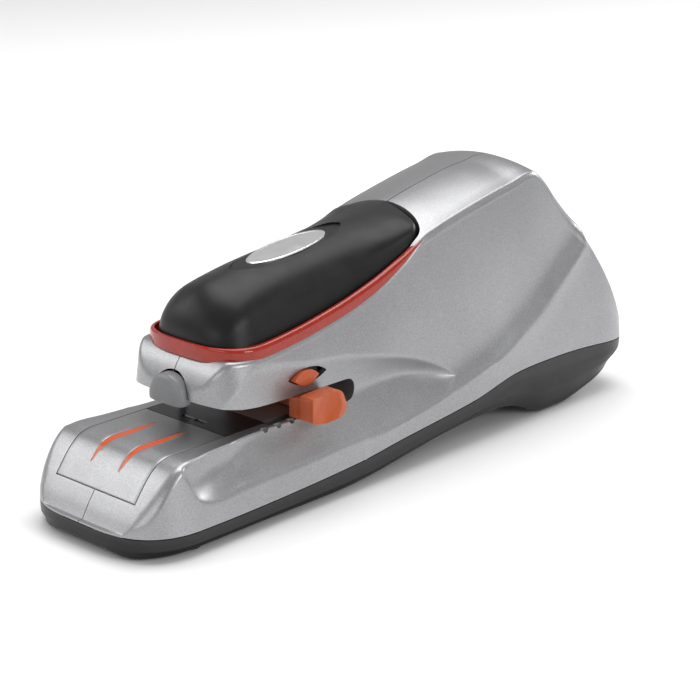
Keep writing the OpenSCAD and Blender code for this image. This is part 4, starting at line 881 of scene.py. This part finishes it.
def stripe_cutter(s, g):
    """Curved stripe on side s, pointed at both ends and grown by g."""
    ts = np.linspace(0, 1, 40)
    a = [stripe_line(s, t, 1.5 * math.sin(math.pi * t) + 0.2 + g) for t in ts]
    b = [stripe_line(s, t, -1.5 * math.sin(math.pi * t) - 0.2 - g) for t in ts[::-1]]
    return prism("stripe", a + b, "z", 0, 60)


cover = cover_solid(COVER_HW - TRIM, 0, 2.2, ANVIL_Y0 - TRIM, COVER_Y0)
for s, side in ((-1, "left"), (1, "right")):
    groove = stripe_cutter(s, 0.05)
    boolean(groove, cover_solid(COVER_HW, 3, 3.5, ANVIL_Y0, COVER_Y0), "INTERSECT")
    boolean(cover, groove)
    stripe = stripe_cutter(s, 0.0)
    boolean(stripe, cover_solid(COVER_HW - 1, -0.05, 0.44, ANVIL_Y0 - 1, COVER_Y0), "INTERSECT")
    clean(stripe, 35)
    paint(stripe, "stripe_" + side, "stripe_orange")
    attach(stripe, "housing")
    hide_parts("cover_stripes")
clean(cover, 30, 0.25, 2)
paint(cover, "anvil_cover_skin", "silver_plastic")
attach(cover, "housing")
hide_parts("anvil_cover")

# ---------------------------------------------------------------- release button
CAP = [(0, -2.9), (.3, -2.88), (.6, -2.78), (.8, -2.55), (.92, -2.1), (.98, -1.5), (1, -0.9), (1, 2.0)]
prof = [(CAP_R * f, h) for f, h in CAP]
prof += [(CAP_R - 1.2, 2.0), (CAP_R - 1.2, -1.5), (0, -1.5)]
button = turned("button", prof, (0, TIP - 0.4, ARCH_TOP - ARCH_R), "y", M["grey_plastic"])
boolean(button, block(-20, NOSE - 5, CEIL - 20, 20, NOSE + 14, CEIL + 1.4))
boolean(button, prism("stem", circle(0, CEIL + 5, 1.4), "y", TIP - 2.2, NOSE + 10.4), "UNION")
clean(button, 40)
paint(button, "release_button_cap", "grey_plastic")
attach(button, "button")
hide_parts("release_button")

# ---------------------------------------------------------------- mode key
slider = prism("slider", eye_outline(EYE_L, EYE_H, EYE_Y, EYE_Z), "x", 23, 26.8)
boolean(slider, block(21.1, EYE_Y - 1.6, EYE_Z - 1, 23.2, EYE_Y + 1.6, EYE_Z + 1), "UNION")
clean(slider, 40, 0.45, 3)
paint(slider, "mode_slider_key", "orange_plastic")
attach(slider, "mode_key")
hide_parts("mode_slider")

# ---------------------------------------------------------------- depth knob, stop bar and keel
knob_z = DECK_Z + GAP / 2
knob_outline = hull_outline([(KNOB_Y - 6.8, knob_z + 3.8, 1.3), (KNOB_Y - 6.8, knob_z - 2.6, 1.3),
                             (KNOB_Y + 3.6, knob_z + 2, 3.6), (KNOB_Y + 4.8, knob_z - 1, 3.6),
                             (KNOB_Y - 1, knob_z - 2.8, 2.2)])
knob = prism("knob", knob_outline, "x", KNOB_X, KNOB_X + 6.2)
dish = turned("dish", [(DISH_R * math.sin(t), -DISH_R * math.cos(t)) for t in np.linspace(0, math.pi, 48)],
              (KNOB_X + 17.8, KNOB_Y + 0.4, DECK_Z + 4.2), "x", M["orange_plastic"], 64)
boolean(knob, dish)
bar_y0, bar_y1 = STOP_Y - 2.2, STOP_Y + 2.2
bar_z0, bar_z1 = DECK_Z + SLIP, CEIL - SLIP
boolean(knob, block(-18, bar_y0, bar_z0, KNOB_X + 1, bar_y1, bar_z1), "UNION")
boolean(knob, block(22, KNOB_Y - 7.6, bar_z0, KNOB_X + 1, KNOB_Y + 5.4, bar_z1), "UNION")
boolean(knob, block(19, bar_y0, DECK_Z - 4.6, 22, bar_y1, DECK_Z + 1), "UNION")
boolean(knob, block(17.4, bar_y0, DECK_Z - 4.6, 23.6, bar_y1, DECK_Z - 3), "UNION")
clean(knob, 40, 0.4, 3)
paint(knob, "depth_knob", "orange_plastic")
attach(knob, "depth_stop")
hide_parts("depth_slide")

# ---------------------------------------------------------------- floor, lights, world
fb = bmesh.new()
floor_vs = [fb.verts.new(v) for v in ((-4, -4, 0), (4, -4, 0), (4, 4, 0), (-4, 4, 0))]
fb.faces.new(floor_vs)
fm = bpy.data.meshes.new("floor")
fb.to_mesh(fm)
fb.free()
floor_mat, _, floor_bsdf = nodes_of("floor_paper")
floor_bsdf.inputs["Base Color"].default_value = (0.93, 0.93, 0.93, 1)
floor_bsdf.inputs["Roughness"].default_value = 0.9
fm.materials.append(floor_mat)
floor = bpy.data.objects.new("floor", fm)
bpy.context.scene.collection.objects.link(floor)


def lamp(name, at, aim, size, power, size_y=None, color=(1, 1, 1)):
    d = bpy.data.lights.new(name, "AREA")
    d.energy = power
    d.color = color
    d.shape = "RECTANGLE"
    d.size = size
    d.size_y = size_y or size
    o = bpy.data.objects.new(name, d)
    o.location = at
    o.rotation_euler = (Vector(aim) - Vector(at)).to_track_quat("-Z", "Y").to_euler()
    bpy.context.scene.collection.objects.link(o)
    return o


lamp("top_softbox", (-0.15, 0.25, 1.25), (0, 0, 0.04), 1.1, 12)
lamp("key_left", (-1.0, -0.7, 0.75), (0, 0, 0.04), 0.9, 4.5, 0.7)
lamp("front_strip", (0.25, -1.5, 0.55), (0, -0.05, 0.05), 1.2, 3, 0.35)
lamp("fill_right", (1.4, 0.1, 0.55), (0, 0, 0.05), 0.5, 5, 0.5)
lamp("rear_strip", (0.2, 1.4, 0.6), (0, 0.03, 0.05), 0.9, 7, 0.4)
world = bpy.data.worlds.new("studio")
world.use_nodes = True
world.node_tree.nodes["Background"].inputs["Color"].default_value = (1, 1, 1, 1)
world.node_tree.nodes["Background"].inputs["Strength"].default_value = 0.42
bpy.context.scene.world = world

bpy.context.view_layer.update()
